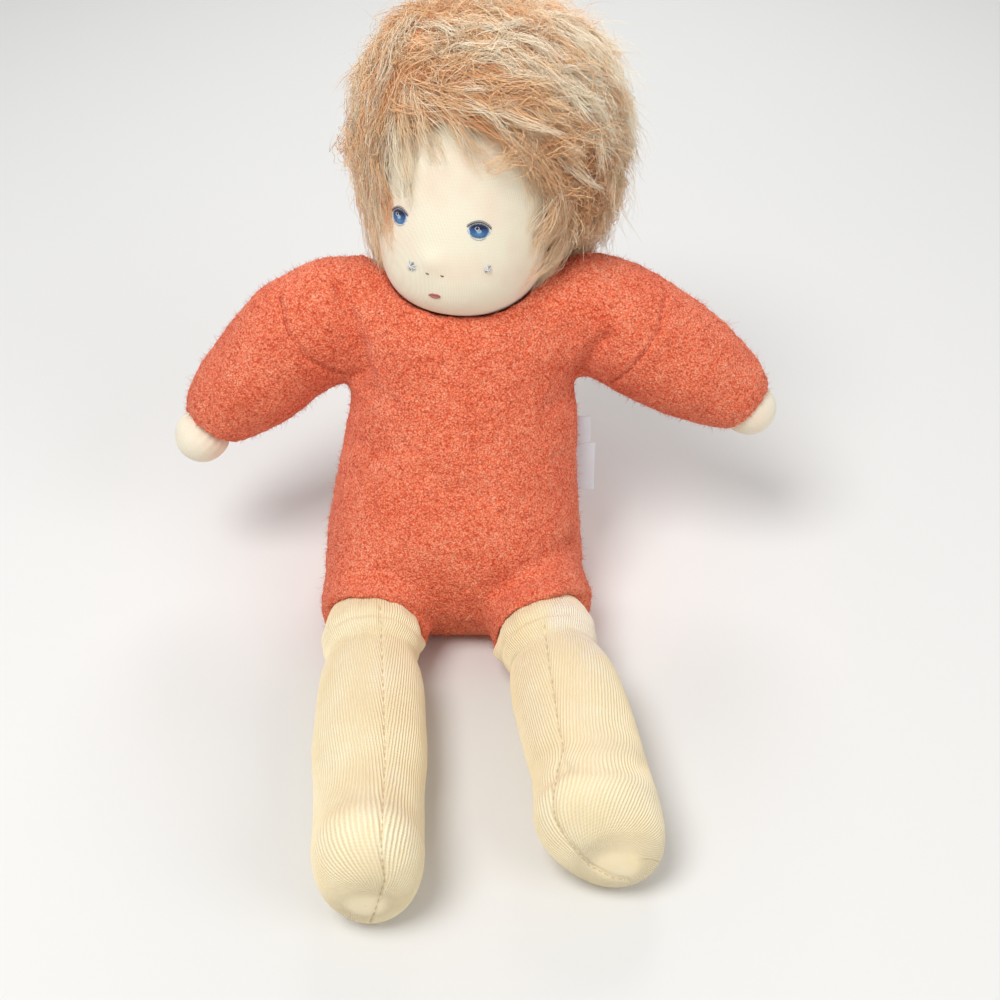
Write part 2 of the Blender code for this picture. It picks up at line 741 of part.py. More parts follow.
def make_leg(side, floor, group):
    """Rib-knit leg shell and its wool filling, flat where they lie on the floor."""
    frame = hip_frame(side, LEG_TURN_DEG[side], 0.0, LEG_ROLL_DEG[side])
    outline = LEG_RINGS[side]
    rings = root_rings(LEG_BALL, LEG_HOLE, outline[0])[:-1] + outline
    skin = shell(f"leg_skin_{side}", rings, frame, group, JERSEY, True)
    boolean(skin, floor, "DIFFERENCE")
    filling = loft(f"leg_stuffing_{side}", rings, frame, group, LIMB_SIDES)
    push(filling, -JERSEY - FIT_GAP - COARSE_MARGIN)
    skin.data.materials.append(finish(f"tan_rib_{side}", RIB_COLOUR, MATT))
    filling.data.materials.append(finish(f"leg_wool_{side}", WOOL_COLOUR, MATT))
    return [skin, filling]


def make_flange(side, group):
    """The unstuffed rib band between the suit and the leg, turned about the leg's axis."""
    middle = (FLANGE_INNER + FLANGE_OUTER) * HALF_SHARE
    points = arc(middle, FLANGE_FRONT_DEG, FLANGE_BACK_DEG, FLANGE_ARCS)
    frame = hip_frame(side, LEG_TURN_DEG[side], 0.0, 0.0)
    flange = turned(f"hip_flange_{side}", points, frame, group)
    fabric = flange.modifiers.new("fabric", "SOLIDIFY")
    fabric.thickness = (FLANGE_OUTER - FLANGE_INNER) * MM
    fabric.offset = 0.0
    flange.data.materials.append(finish(f"hip_rib_{side}", RIB_COLOUR, MATT))
    return flange


def make_labels(body, group):
    """Two blank satin labels that stand out of the side seam."""
    labels = []
    inward = Vector((-1, 0, 0))
    for name, (low, high, reach) in LABELS.items():
        heights = [low + (high - low) * step / TIE_STEPS for step in range(TIE_STEPS + 1)]
        starts = [body_point(CUT_BLOCK, LABEL_BEHIND, height) for height in heights]
        seats = [seat_on(body, start, inward)[0] for start in starts]
        root = max(seat.x for seat in seats) + (LABEL_BED + LABEL_THICK * HALF_SHARE) * MM
        shape = bmesh.new()
        bmesh.ops.create_cube(shape, size=1.0)
        data_size = Matrix.Diagonal((reach * MM, LABEL_THICK * MM, (high - low) * MM, 1.0))
        bmesh.ops.transform(shape, verts=shape.verts, matrix=data_size)
        label = from_bmesh(name, shape, group)
        middle = body_point(0, LABEL_BEHIND, (low + high) * HALF_SHARE)
        middle.x = root + reach * HALF_SHARE * MM
        label.matrix_world = Matrix.Translation(middle) @ Matrix.Rotation(
            -math.radians(BODY_LEAN_DEG), 4, "X"
        )
        label.data.materials.append(finish(f"{name}_satin", SATIN_COLOUR, SATIN))
        labels.append(label)
    return labels


def hang(name, frame, pieces, parent, group):
    """An empty on a joint's axis that carries the pieces which move there."""
    joint = bpy.data.objects.new(name, None)
    group.objects.link(joint)
    joint.matrix_world = frame
    bpy.context.view_layer.update()
    if parent:
        joint.parent = parent
        joint.matrix_parent_inverse = parent.matrix_world.inverted()
    bpy.context.view_layer.update()
    for piece in pieces:
        piece.parent = joint
        piece.matrix_parent_inverse = joint.matrix_world.inverted()
    return joint


def main():
    """Build every piece and hang the moving ones on their joints."""
    clear_scene()
    group = new_collection("waldorf_doll")
    cutters = new_collection("cutters")
    body_pieces, floor = make_body(group, cutters)
    body_pieces += make_labels(body_pieces[0], group)
    root = hang("body", Matrix.Identity(4), body_pieces, None, group)
    neck = hang("neck_nod", neck_frame(), make_neck(group), root, group)
    head_pieces = make_head(group, cutters) + [make_wig(group, cutters)]
    hang("head_turn", head_frame(), head_pieces, neck, group)
    for side in SIDES:
        arm = shoulder_frame(side, ARM_DROP_DEG[side])
        hang(f"arm_lift_{side}", arm, make_arm(side, group), root, group)
        leg = hip_frame(side, LEG_TURN_DEG[side], 0.0, 0.0)
        hip = hang(f"leg_swing_{side}", leg, [make_flange(side, group)], root, group)
        hang(f"leg_spread_{side}", leg, make_leg(side, floor, group), hip, group)


if __name__ == "__main__":
    main()
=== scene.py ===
"""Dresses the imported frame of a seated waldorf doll: suit, limbs, head, stitched face, mohair and labels."""

import logging
import math
from dataclasses import dataclass
from enum import Enum
from itertools import product

import bmesh
import bpy
import numpy as np
from mathutils import Matrix, Vector
from mathutils.bvhtree import BVHTree


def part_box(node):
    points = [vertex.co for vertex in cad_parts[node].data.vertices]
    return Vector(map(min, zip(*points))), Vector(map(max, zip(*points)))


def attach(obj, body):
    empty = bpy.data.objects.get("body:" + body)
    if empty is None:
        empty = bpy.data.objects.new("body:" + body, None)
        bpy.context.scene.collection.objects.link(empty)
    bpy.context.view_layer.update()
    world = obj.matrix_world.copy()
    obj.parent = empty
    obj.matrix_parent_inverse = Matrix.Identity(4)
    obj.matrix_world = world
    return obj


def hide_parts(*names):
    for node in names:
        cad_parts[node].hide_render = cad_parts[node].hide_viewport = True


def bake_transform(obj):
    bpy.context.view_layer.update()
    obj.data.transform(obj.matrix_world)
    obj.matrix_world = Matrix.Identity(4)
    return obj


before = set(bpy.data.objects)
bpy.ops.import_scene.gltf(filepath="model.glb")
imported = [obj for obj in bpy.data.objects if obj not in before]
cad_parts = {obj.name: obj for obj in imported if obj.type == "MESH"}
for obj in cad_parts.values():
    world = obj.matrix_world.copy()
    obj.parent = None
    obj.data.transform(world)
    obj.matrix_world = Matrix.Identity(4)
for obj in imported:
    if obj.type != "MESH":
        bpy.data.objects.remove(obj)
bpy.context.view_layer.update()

log = logging.getLogger("doll")
logging.basicConfig(level=logging.INFO, format="%(name)s: %(message)s")

MM = 0.001
REST = "rest"
TINT = "tint"
UP = Vector((0, 0, 1))
FORWARD = Vector((0, -1, 0))


class Side(Enum):
    """The doll's own right and left, with the sign of X on that side."""

    RIGHT = -1
    LEFT = 1

    @property
    def word(self) -> str:
        """The side's part of a node's or body's name."""
        return self.name.lower()


class Hold(Enum):
    """How firmly a point is held while the padding swells."""

    FREE = 0.0
    FIRM = 1.0


# Frames, in millimetres


def shifted(point) -> Matrix:
    """The matrix that moves the origin to a point."""
    return Matrix.Translation(Vector(point))


def turned(degrees: float, axis: str) -> Matrix:
    """The matrix of a turn about one axis."""
    return Matrix.Rotation(math.radians(degrees), 4, axis)


@dataclass(frozen=True)
class Stance:
    """The doll's own directions and the frames of its limbs, as the frame's source has them."""

    lean: float = 20.0
    neck_height: float = 110.0
    head_roll: float = 7.0
    head_yaw: float = -18.6
    shoulder: tuple = (48.5, 111.5)
    arm_drop: tuple = (40.5, 28.0)
    hip: tuple = (32.5, -45.0, 20.9)
    leg_turn: tuple = (3.4, 11.5)
    leg_roll: tuple = (0.0, 42.0)

    def body(self, across: float, behind: float, height: float) -> Vector:
        """A point given along the leaning body's own directions."""
        return turned(-self.lean, "X") @ Vector((across, behind, height))

    def neck(self) -> Matrix:
        """Origin on the nod axis, Z up the neck."""
        base = self.body(0, 0, self.neck_height)
        return shifted(base) @ turned(-self.lean, "X") @ turned(self.head_roll, "Y")

    def head(self) -> Matrix:
        """The neck's frame, turned so that -Y looks where the face looks."""
        return self.neck() @ turned(self.head_yaw, "Z")

    def arm(self, side: Side) -> Matrix:
        """Origin at the shoulder, Z along the arm."""
        drop = math.radians(self.arm_drop[side is Side.LEFT])
        along = self.body(side.value * math.cos(drop), 0, -math.sin(drop)).normalized()
        x = self.body(0, 1, 0).normalized().cross(along) * side.value
        axes = Matrix((x, along.cross(x), along)).transposed().to_4x4()
        out, height = self.shoulder
        return shifted(self.body(side.value * out, 0, height)) @ axes

    def leg(self, side: Side) -> Matrix:
        """Origin at the hip, Z along the leg."""
        left = side is Side.LEFT
        along = (turned(self.leg_turn[left], "Z") @ FORWARD).normalized()
        x = UP.cross(along).normalized()
        axes = Matrix((x, along.cross(x), along)).transposed().to_4x4()
        out, front, height = self.hip
        place = shifted((side.value * out, front, height))
        return place @ axes @ turned(self.leg_roll[left], "Z")


@dataclass(frozen=True)
class Lens:
    """The camera of the photograph, in millimetres, for a square image."""

    place: tuple = (15.5, -357.0, 369.0)
    target: tuple = (15.5, -30.0, 75.0)
    pixels: float = 1000.0
    focal: float = 1237.6
    sensor: float = 36.0

    def axes(self) -> tuple:
        """Forward, right and up of the camera."""
        forward = (Vector(self.target) - Vector(self.place)).normalized()
        right = forward.cross(UP).normalized()
        return forward, right, right.cross(forward)

    def project(self, points: np.ndarray) -> np.ndarray:
        """Pixel coordinates of points.

        Args:
            points: N by 3, in millimetres.

        Returns:
            N by 2, across from the left and down from the top.
        """
        forward, right, up = (np.array(a) for a in self.axes())
        rays = points - np.array(self.place)
        depth = rays @ forward
        half = self.pixels / 2
        across = half + self.focal * (rays @ right) / depth
        return np.column_stack((across, half - self.focal * (rays @ up) / depth))

    def ray(self, across: float, down: float) -> Vector:
        """The direction of the line of sight through one pixel."""
        forward, right, up = self.axes()
        half = self.pixels / 2
        return (forward * self.focal + right * (across - half) + up * (half - down)).normalized()

    def facing(self, points: np.ndarray, normals: np.ndarray) -> np.ndarray:
        """How far each point faces the camera, from 0 to 1."""
        rays = np.array(self.place) - points
        rays /= np.linalg.norm(rays, axis=1, keepdims=True)
        return np.clip(np.einsum("ij,ij->i", rays, normals) * 3, 0, 1)


STANCE = Stance()
LENS = Lens()


# Arrays and meshes


def matrix_array(matrix: Matrix) -> np.ndarray:
    """A matrix as an array."""
    return np.array([list(row) for row in matrix])


def moved(points: np.ndarray, matrix: Matrix) -> np.ndarray:
    """Points carried by a matrix."""
    m = matrix_array(matrix)
    return points @ m[:3, :3].T + m[:3, 3]


def local(points: np.ndarray, matrix: Matrix) -> np.ndarray:
    """Points as a frame has them."""
    return moved(points, matrix.inverted())


def mean_dot(first: np.ndarray, second: np.ndarray) -> float:
    """The mean scalar product of two sets of vectors."""
    return float(np.mean(np.einsum("...k,...k->...", first, second)))


def outward(normals: np.ndarray, points: np.ndarray, middle: np.ndarray) -> np.ndarray:
    """Normals turned as one so that they look away from a middle."""
    return -normals if mean_dot(normals, points - middle) < 0 else normals


def round_angles(count: int) -> np.ndarray:
    """Even angles round a full turn, as one row."""
    return (np.arange(count) * 2 * np.pi / count)[None, :]


def smooth_curve(a: np.ndarray, b: np.ndarray, c: np.ndarray, d: np.ndarray, t: np.ndarray) -> np.ndarray:
    """The value between b and c on a smooth curve through four values."""
    return 0.5 * (
        2 * b + (c - a) * t + (2 * a - 5 * b + 4 * c - d) * t**2 + (3 * b - a - 3 * c + d) * t**3
    )


def unit(vectors: np.ndarray) -> np.ndarray:
    """Vectors scaled to length one."""
    return vectors / np.maximum(np.linalg.norm(vectors, axis=-1, keepdims=True), 1e-9)


def smooth_step(low: float, high: float, value: np.ndarray) -> np.ndarray:
    """A smooth rise from 0 at low to 1 at high."""
    t = np.clip((value - low) / (high - low), 0, 1)
    return t * t * (3 - 2 * t)


def soft_noise(points: np.ndarray, size: float, seed: int = 0) -> np.ndarray:
    """Smooth noise from -1 to 1.

    Args:
        points: N by 3.
        size: the width of one blob, in the points' unit.
        seed: picks another pattern.

    Returns:
        One value for each point.
    """
    scaled = points / size
    base = np.floor(scaled).astype(np.int64)
    part = scaled - base
    part = part * part * (3 - 2 * part)
    total = np.zeros(len(points))
    for corner in product((0, 1), repeat=3):
        cell = base + np.array(corner)
        mixed = (cell[:, 0] * 73856093) ^ (cell[:, 1] * 19349663) ^ (cell[:, 2] * 83492791)
        mixed = (mixed + seed * 9176) * 1274126177
        mixed = (mixed ^ (mixed >> 15)) * 668265263
        value = ((mixed ^ (mixed >> 13)) & 0xFFFF) / 32767.5 - 1
        total += value * np.prod(np.where(corner, part, 1 - part), axis=1)
    return total


def quads_of_grid(rows: int, columns: int, wrap: bool) -> np.ndarray:
    """Quads of a grid of points, row by row, whose columns may close on themselves."""
    down = np.arange(rows - 1)[:, None]
    across = np.arange(columns if wrap else columns - 1)[None, :]
    following = (across + 1) % columns
    corners = (
        down * columns + across,
        down * columns + following,
        (down + 1) * columns + following,
        (down + 1) * columns + across,
    )
    return np.stack([c.ravel() for c in corners], axis=1)


def make_mesh(name: str, points: np.ndarray, quads: np.ndarray, uv=None, tint=None) -> bpy.types.Object:
    """A smooth-shaded object from arrays.

    Args:
        name: the object's name.
        points: N by 3, in millimetres.
        quads: M by 4 indices.
        uv: two values for each point, or None.
        tint: a colour or one value for each point, or None.

    Returns:
        The object, linked to the scene.
    """
    mesh = bpy.data.meshes.new(name)
    mesh.vertices.add(len(points))
    mesh.vertices.foreach_set("co", (points * MM).astype(np.float32).ravel())
    mesh.loops.add(quads.size)
    mesh.loops.foreach_set("vertex_index", quads.astype(np.int32).ravel())
    mesh.polygons.add(len(quads))
    mesh.polygons.foreach_set("loop_start", np.arange(0, quads.size, 4, dtype=np.int32))
    mesh.update(calc_edges=True)
    mesh.polygons.foreach_set("use_smooth", np.ones(len(quads), bool))
    if uv is not None:
        layer = mesh.uv_layers.new(name="weave")
        layer.data.foreach_set("uv", uv[quads.ravel()].astype(np.float32).ravel())
    if tint is not None:
        set_tint(mesh, tint)
    return link_mesh(name, mesh)


def link_mesh(name: str, mesh: bpy.types.Mesh) -> bpy.types.Object:
    """An object of a mesh, linked to the scene."""
    obj = bpy.data.objects.new(name, mesh)
    bpy.context.scene.collection.objects.link(obj)
    return obj


def set_tint(mesh: bpy.types.Mesh, tint: np.ndarray) -> None:
    """Stores a value or colour for each point, which materials read."""
    if tint.ndim == 1:
        layer = mesh.attributes.new(TINT, "FLOAT", "POINT")
        layer.data.foreach_set("value", tint.astype(np.float32))
        return
    layer = mesh.attributes.new(TINT, "FLOAT_COLOR", "POINT")
    colours = np.ones((len(tint), 4), np.float32)
    colours[:, :3] = tint
    layer.data.foreach_set("color", colours.ravel())


def keep_rest(obj: bpy.types.Object) -> None:
    """Stores where each point is at rest, so that a material stays with the cloth as it moves."""
    layer = obj.data.attributes.new(REST, "FLOAT_VECTOR", "POINT")
    layer.data.foreach_set("vector", (points_of(obj) * MM).astype(np.float32).ravel())


def points_of(obj: bpy.types.Object) -> np.ndarray:
    """The object's points, in millimetres."""
    co = np.empty(len(obj.data.vertices) * 3, np.float32)
    obj.data.vertices.foreach_get("co", co)
    return co.reshape(-1, 3).astype(float) / MM


def normals_of(obj: bpy.types.Object) -> np.ndarray:
    """The object's point normals."""
    out = np.empty(len(obj.data.vertices) * 3, np.float32)
    obj.data.vertex_normals.foreach_get("vector", out)
    return out.reshape(-1, 3).astype(float)


def set_points(obj: bpy.types.Object, points: np.ndarray) -> None:
    """Moves the object's points, given in millimetres."""
    obj.data.vertices.foreach_set("co", (points * MM).astype(np.float32).ravel())
    obj.data.update()


def with_modifier(obj: bpy.types.Object, kind: str, **settings) -> None:
    """Adds one modifier and applies it to the object's mesh."""
    modifier = obj.modifiers.new(kind.lower(), kind)
    for key, value in settings.items():
        setattr(modifier, key, value)
    graph = bpy.context.evaluated_depsgraph_get()
    fresh = bpy.data.meshes.new_from_object(obj.evaluated_get(graph))
    obj.modifiers.clear()
    old = obj.data
    obj.data = fresh
    bpy.data.meshes.remove(old)


def shade_smooth(obj: bpy.types.Object) -> None:
    """Smooth shading on every face."""
    obj.data.polygons.foreach_set("use_smooth", np.ones(len(obj.data.polygons), bool))


def swell(obj: bpy.types.Object, held: np.ndarray, pressure: float, cap: float, frames: int = 20) -> None:
    """Swells padding with a short cloth simulation and leaves the result in the mesh.

    Args:
        obj: the closed padding.
        held: for each point, how firmly it is held, from 0 to 1.
        pressure: the air pressure inside.
        cap: the furthest that a point may move, in millimetres.
        frames: how many frames to run.
    """
    before = points_of(obj)
    group = obj.vertex_groups.new(name="held")
    for index in np.nonzero(held > 0)[0]:
        group.add([int(index)], float(held[index]), "REPLACE")
    cloth = obj.modifiers.new("cloth", "CLOTH")
    cloth.settings.use_pressure = True
    cloth.settings.uniform_pressure_force = pressure
    cloth.settings.effector_weights.gravity = 0
    cloth.settings.vertex_group_mass = group.name
    cloth.settings.mass = 0.004
    cloth.settings.tension_stiffness = 0.6
    cloth.settings.compression_stiffness = 0.6
    cloth.settings.shear_stiffness = 0.4
    cloth.settings.bending_stiffness = 0.05
    cloth.settings.quality = 6
    cloth.point_cache.frame_end = frames
    scene = bpy.context.scene
    for number in range(1, frames + 1):
        scene.frame_set(number)
    graph = bpy.context.evaluated_depsgraph_get()
    fresh = bpy.data.meshes.new_from_object(obj.evaluated_get(graph))
    obj.modifiers.clear()
    obj.vertex_groups.clear()
    obj.data = fresh
    move = points_of(obj) - before
    length = np.linalg.norm(move, axis=1, keepdims=True)
    share = np.minimum(1, cap / np.maximum(length, 1e-6))
    log.info("swell: %.2f mm at most, %.2f mm on average", length.max(), length.mean())
    set_points(obj, before + move * share)
    scene.frame_set(1)


def loft_field(points: np.ndarray, rings: tuple) -> np.ndarray:
    """How far points lie outside a loft of rounded rings, negative inside.

    Args:
        points: N by 3, in the loft's frame.
        rings: (along, half width, half depth, behind, across, lean, squareness) of each ring.

    Returns:
        About the distance, in millimetres.
    """
    rings = np.array(rings, float)
    lean = np.radians(rings[:, 5])
    normals = np.stack((0 * lean, -np.sin(lean), np.cos(lean)), 1)
    backs = np.stack((0 * lean, np.cos(lean), np.sin(lean)), 1)
    centres = rings[:, [4, 3, 0]]
    above = np.stack([(points - c) @ n for c, n in zip(centres, normals)])
    index = np.clip((above > 0).sum(0) - 1, 0, len(rings) - 2)
    pick = np.arange(len(points))
    low, high = above[index, pick], above[index + 1, pick]
    t = np.clip(low / np.maximum(low - high, 1e-6), 0, 1)

    def at(values) -> np.ndarray:
        """The rings' values at each point, on a smooth curve."""
        before, after = np.clip(index - 1, 0, None), np.clip(index + 2, None, len(rings) - 1)
        a, b, c, d = values[before], values[index], values[index + 1], values[after]
        return smooth_curve(a, b, c, d, t if values.ndim == 1 else t[:, None])

    away = points - at(centres)
    across = np.abs(away[:, 0])
    behind = np.abs(np.einsum("ij,ij->i", away, unit(at(backs))))
    wide, deep, power = at(rings[:, 1]), at(rings[:, 2]), at(rings[:, 6])
    share = ((across / wide) ** power + (behind / deep) ** power) ** (1 / power)
    side = (share - 1) * np.minimum(wide, deep)
    return np.maximum(side, np.maximum(above[-1], -above[0]))


def joined(first: np.ndarray, second: np.ndarray, width: float) -> np.ndarray:
    """The union of two fields with a soft hollow between them."""
    share = np.clip(0.5 + 0.5 * (second - first) / width, 0, 1)
    return second * (1 - share) + first * share - width * share * (1 - share)


def skinned(field, low: tuple, high: tuple, step: float) -> tuple:
    """Points and quads of the surface where a field crosses zero.

    Args:
        field: gives a value for each of N by 3 points, negative inside.
        low: the lowest corner of the box that is searched.
        high: the highest corner.
        step: the size of a cell.

    Returns:
        Points and quads.
    """
    axes = [np.arange(a, b + step, step) for a, b in zip(low, high)]
    shape = tuple(len(a) for a in axes)
    grid = np.stack(np.meshgrid(*axes, indexing="ij"), -1).reshape(-1, 3)
    values = field(grid).reshape(shape)
    cells = tuple(n - 1 for n in shape)
    total, count = np.zeros((*cells, 3)), np.zeros(cells)

    def corner(offset) -> np.ndarray:
        """The values at one corner of every cell."""
        return values[tuple(slice(o, n + o) for o, n in zip(offset, cells))]

    for axis in range(3):
        for pair in product((0, 1), repeat=2):
            start = list(pair)
            start.insert(axis, 0)
            end = list(pair)
            end.insert(axis, 1)
            a, b = corner(start), corner(end)
            cross = (a < 0) != (b < 0)
            t = np.where(cross, a / np.where(cross, a - b, 1), 0)
            spot = np.zeros((*cells, 3)) + np.array(start, float)
            spot[..., axis] += t
            total += spot * cross[..., None]
            count += cross
    active = count > 0
    where = np.argwhere(active)
    points = (where + total[active] / count[active][:, None]) * step + np.array(low)
    index = np.full(cells, -1)
    index[active] = np.arange(len(where))
    quads = []
    for axis in range(3):
        order = [axis, (axis + 1) % 3, (axis + 2) % 3]
        v, ids = values.transpose(order), index.transpose(order)
        a, b = v[:-1, 1:-1, 1:-1], v[1:, 1:-1, 1:-1]
        ring = [ids[:, :-1, :-1], ids[:, 1:, :-1], ids[:, 1:, 1:], ids[:, :-1, 1:]]
        for mask, way in (((a < 0) & (b >= 0), 1), ((a >= 0) & (b < 0), -1)):
            quads.append(np.stack([r[mask] for r in ring[::way]], 1))
    return points, np.concatenate(quads)


def turn_outward(obj: bpy.types.Object, centre: np.ndarray) -> None:
    """Turns the faces so that they look away from a centre."""
    if mean_dot(normals_of(obj), points_of(obj) - centre) < 0:
        obj.data.flip_normals()


class Surface:
    """The faces of some objects, to cast and snap onto, in millimetres."""

    def __init__(self, *objects) -> None:
        """Gathers the faces of the objects."""
        points, faces, base = [], [], 0
        for obj in objects:
            own = points_of(obj)
            points.extend(map(tuple, own))
            faces.extend(tuple(base + i for i in p.vertices) for p in obj.data.polygons)
            base += len(own)
        self.tree = BVHTree.FromPolygons(points, faces)

    def cast(self, start, direction) -> tuple:
        """The first point and normal that a line meets, or None twice."""
        hit, normal, _, _ = self.tree.ray_cast(Vector(start), Vector(direction))
        return hit, normal

    def nearest(self, point) -> tuple:
        """The nearest point and its normal."""
        hit, normal, _, _ = self.tree.find_nearest(Vector(point))
        return hit, normal

    def reach(self, centre: np.ndarray, directions: np.ndarray, far: float) -> np.ndarray:
        """The distance from centres to the outermost face along each direction."""
        out = np.empty(len(directions))
        for i, (c, d) in enumerate(zip(centre, directions)):
            hit, _ = self.cast(c + d * far, -d)
            out[i] = (Vector(c) - hit).length if hit else np.nan
        return out


def node_surface(*names: str) -> Surface:
    """The surface of some nodes of the frame."""
    return Surface(*[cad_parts[n] for n in names])


class ReachTable:
    """How far a form reaches from a centre in each direction, kept as a smooth table."""

    def __init__(self, surface: Surface, matrix: Matrix, centre: tuple, passes: int = 1) -> None:
        """Measures the surface from the centre, in a frame's own directions."""
        rows, columns = 46, 72
        up = np.linspace(-np.pi / 2, np.pi / 2, rows)[:, None]
        angle = round_angles(columns)
        ways = np.stack(
            (np.cos(up) * np.sin(angle), -np.cos(up) * np.cos(angle), np.sin(up) + 0 * angle), 2
        )
        flat = ways.reshape(-1, 3) @ matrix_array(matrix)[:3, :3].T
        start = np.broadcast_to(np.array(matrix @ Vector(centre)), flat.shape)
        found = surface.reach(start, flat, 90)
        found = np.where(np.isnan(found), np.nanmin(found), found).reshape(rows, columns)
        for _ in range(passes):
            found = 0.5 * found + 0.25 * (np.roll(found, 1, 1) + np.roll(found, -1, 1))
        self.table = found

    def __call__(self, ways: np.ndarray) -> np.ndarray:
        """The reach along unit directions of the frame."""
        rows, columns = self.table.shape
        across = (np.arctan2(ways[:, 0], -ways[:, 1]) / (2 * np.pi) % 1) * columns
        up = (np.arcsin(np.clip(ways[:, 2], -1, 1)) / np.pi + 0.5) * (rows - 1)
        up = np.clip(up, 0, rows - 1.001)
        a, u = np.floor(across).astype(int), np.floor(up).astype(int)
        fa, fu = across - a, up - u
        a, b = a % columns, (a + 1) % columns
        low = self.table[u, a] * (1 - fa) + self.table[u, b] * fa
        high = self.table[u + 1, a] * (1 - fa) + self.table[u + 1, b] * fa
        return low * (1 - fu) + high * fu


def line_distance(points: np.ndarray, line: tuple) -> np.ndarray:
    """The distance of flat points from a line of flat points."""
    best = np.full(len(points), 1e9)
    line = np.array(line, float)
    for a, b in zip(line[:-1], line[1:]):
        d = b - a
        t = np.clip(((points - a) @ d) / (d @ d), 0, 1)
        best = np.minimum(best, np.linalg.norm(points - a - t[:, None] * d, axis=1))
    return best


def press_folds(points: np.ndarray, normals: np.ndarray, folds: tuple) -> np.ndarray:
    """Presses folds into a surface where the camera sees them.

    Args:
        points: N by 3, in millimetres.
        normals: N by 3.
        folds: (line of pixels, width in pixels, depth in millimetres) of each fold.

    Returns:
        The moved points.
    """
    flat = LENS.project(points)
    facing = LENS.facing(points, normals)
    depth = np.zeros(len(points))
    for line, width, deep in folds:
        depth += deep * np.exp(-((line_distance(flat, line) / width) ** 2))
    return points - normals * (depth * facing)[:, None]


def strands(name: str, paths: np.ndarray, radii: np.ndarray, tint=None, sides: int = 3) -> bpy.types.Object:
    """One object of many thin tapering tubes.

    Args:
        name: the object's name.
        paths: N strands by K points by 3, in millimetres.
        radii: N by K.
        tint: N values or colours, or N by K values, or None.
        sides: how many sides each tube has.

    Returns:
        The object.
    """
    count, steps, _ = paths.shape
    along = unit(np.gradient(paths, axis=1))
    helper = np.where(np.abs(along[:, :1, 2:3]) > 0.8, [[[1.0, 0, 0]]], [[[0, 0, 1.0]]])
    first = unit(np.cross(along, np.broadcast_to(helper, along.shape)))
    second = np.cross(along, first)
    angles = round_angles(sides)[0]
    ring = (
        first[:, :, None] * np.cos(angles)[:, None] + second[:, :, None] * np.sin(angles)[:, None]
    )
    points = (paths[:, :, None] + ring * radii[:, :, None, None]).reshape(-1, 3)
    one = quads_of_grid(steps, sides, True)
    quads = (one[None] + (np.arange(count) * steps * sides)[:, None, None]).reshape(-1, 4)
    shade = None
    if tint is not None and tint.ndim == 2 and tint.shape[1] == steps:
        shade = np.repeat(tint.reshape(-1), sides)
    elif tint is not None:
        shade = np.repeat(tint, steps * sides, axis=0)
    return make_mesh(name, points, quads, tint=shade)


def stitch_paths(cloths: list, line: tuple, pace: float, length: float) -> list:
    """Short stitches along a line of pixels, laid on what the camera sees there.

    Args:
        cloths: the surfaces that they may lie on.
        line: the line of pixels.
        pace: pixels from one stitch to the next.
        length: the length of a stitch in pixels.

    Returns:
        For each cloth, its stitches as lists of points.
    """
    line = np.array(line, float)
    total = np.concatenate(([0], np.cumsum(np.linalg.norm(np.diff(line, axis=0), axis=1))))
    paths = [[] for _ in cloths]
    for start in np.arange(2, total[-1] - 6, pace):
        spots, owners = [], []
        for at in np.linspace(start, start + length, 5):
            x, y = (np.interp(at, total, line[:, i]) for i in (0, 1))
            hits = [c.cast(LENS.place, LENS.ray(x, y)) for c in cloths]
            far = [(h - Vector(LENS.place)).length if h else 1e9 for h, _ in hits]
            owner = int(np.argmin(far))
            hit, normal = hits[owner]
            if hit is None:
                break
            bow = math.sin((at - start) / length * math.pi)
            spots.append(np.array(hit) + np.array(normal) * (0.22 * bow - 0.04))
            owners.append(owner)
        if len(spots) == 5 and len(set(owners)) == 1:
            paths[owners[0]].append(spots)
    return paths


def stitch_rows(name: str, paths: list, colour: tuple) -> bpy.types.Object:
    """One object of stitches in one colour."""
    lines = np.array(paths)
    radii = np.broadcast_to(np.array([0.1, 0.15, 0.16, 0.15, 0.1]), lines.shape[:2])
    return strands(name, lines, radii, np.tile(linear(colour), (len(lines), 1)), sides=6)


# Shader graphs


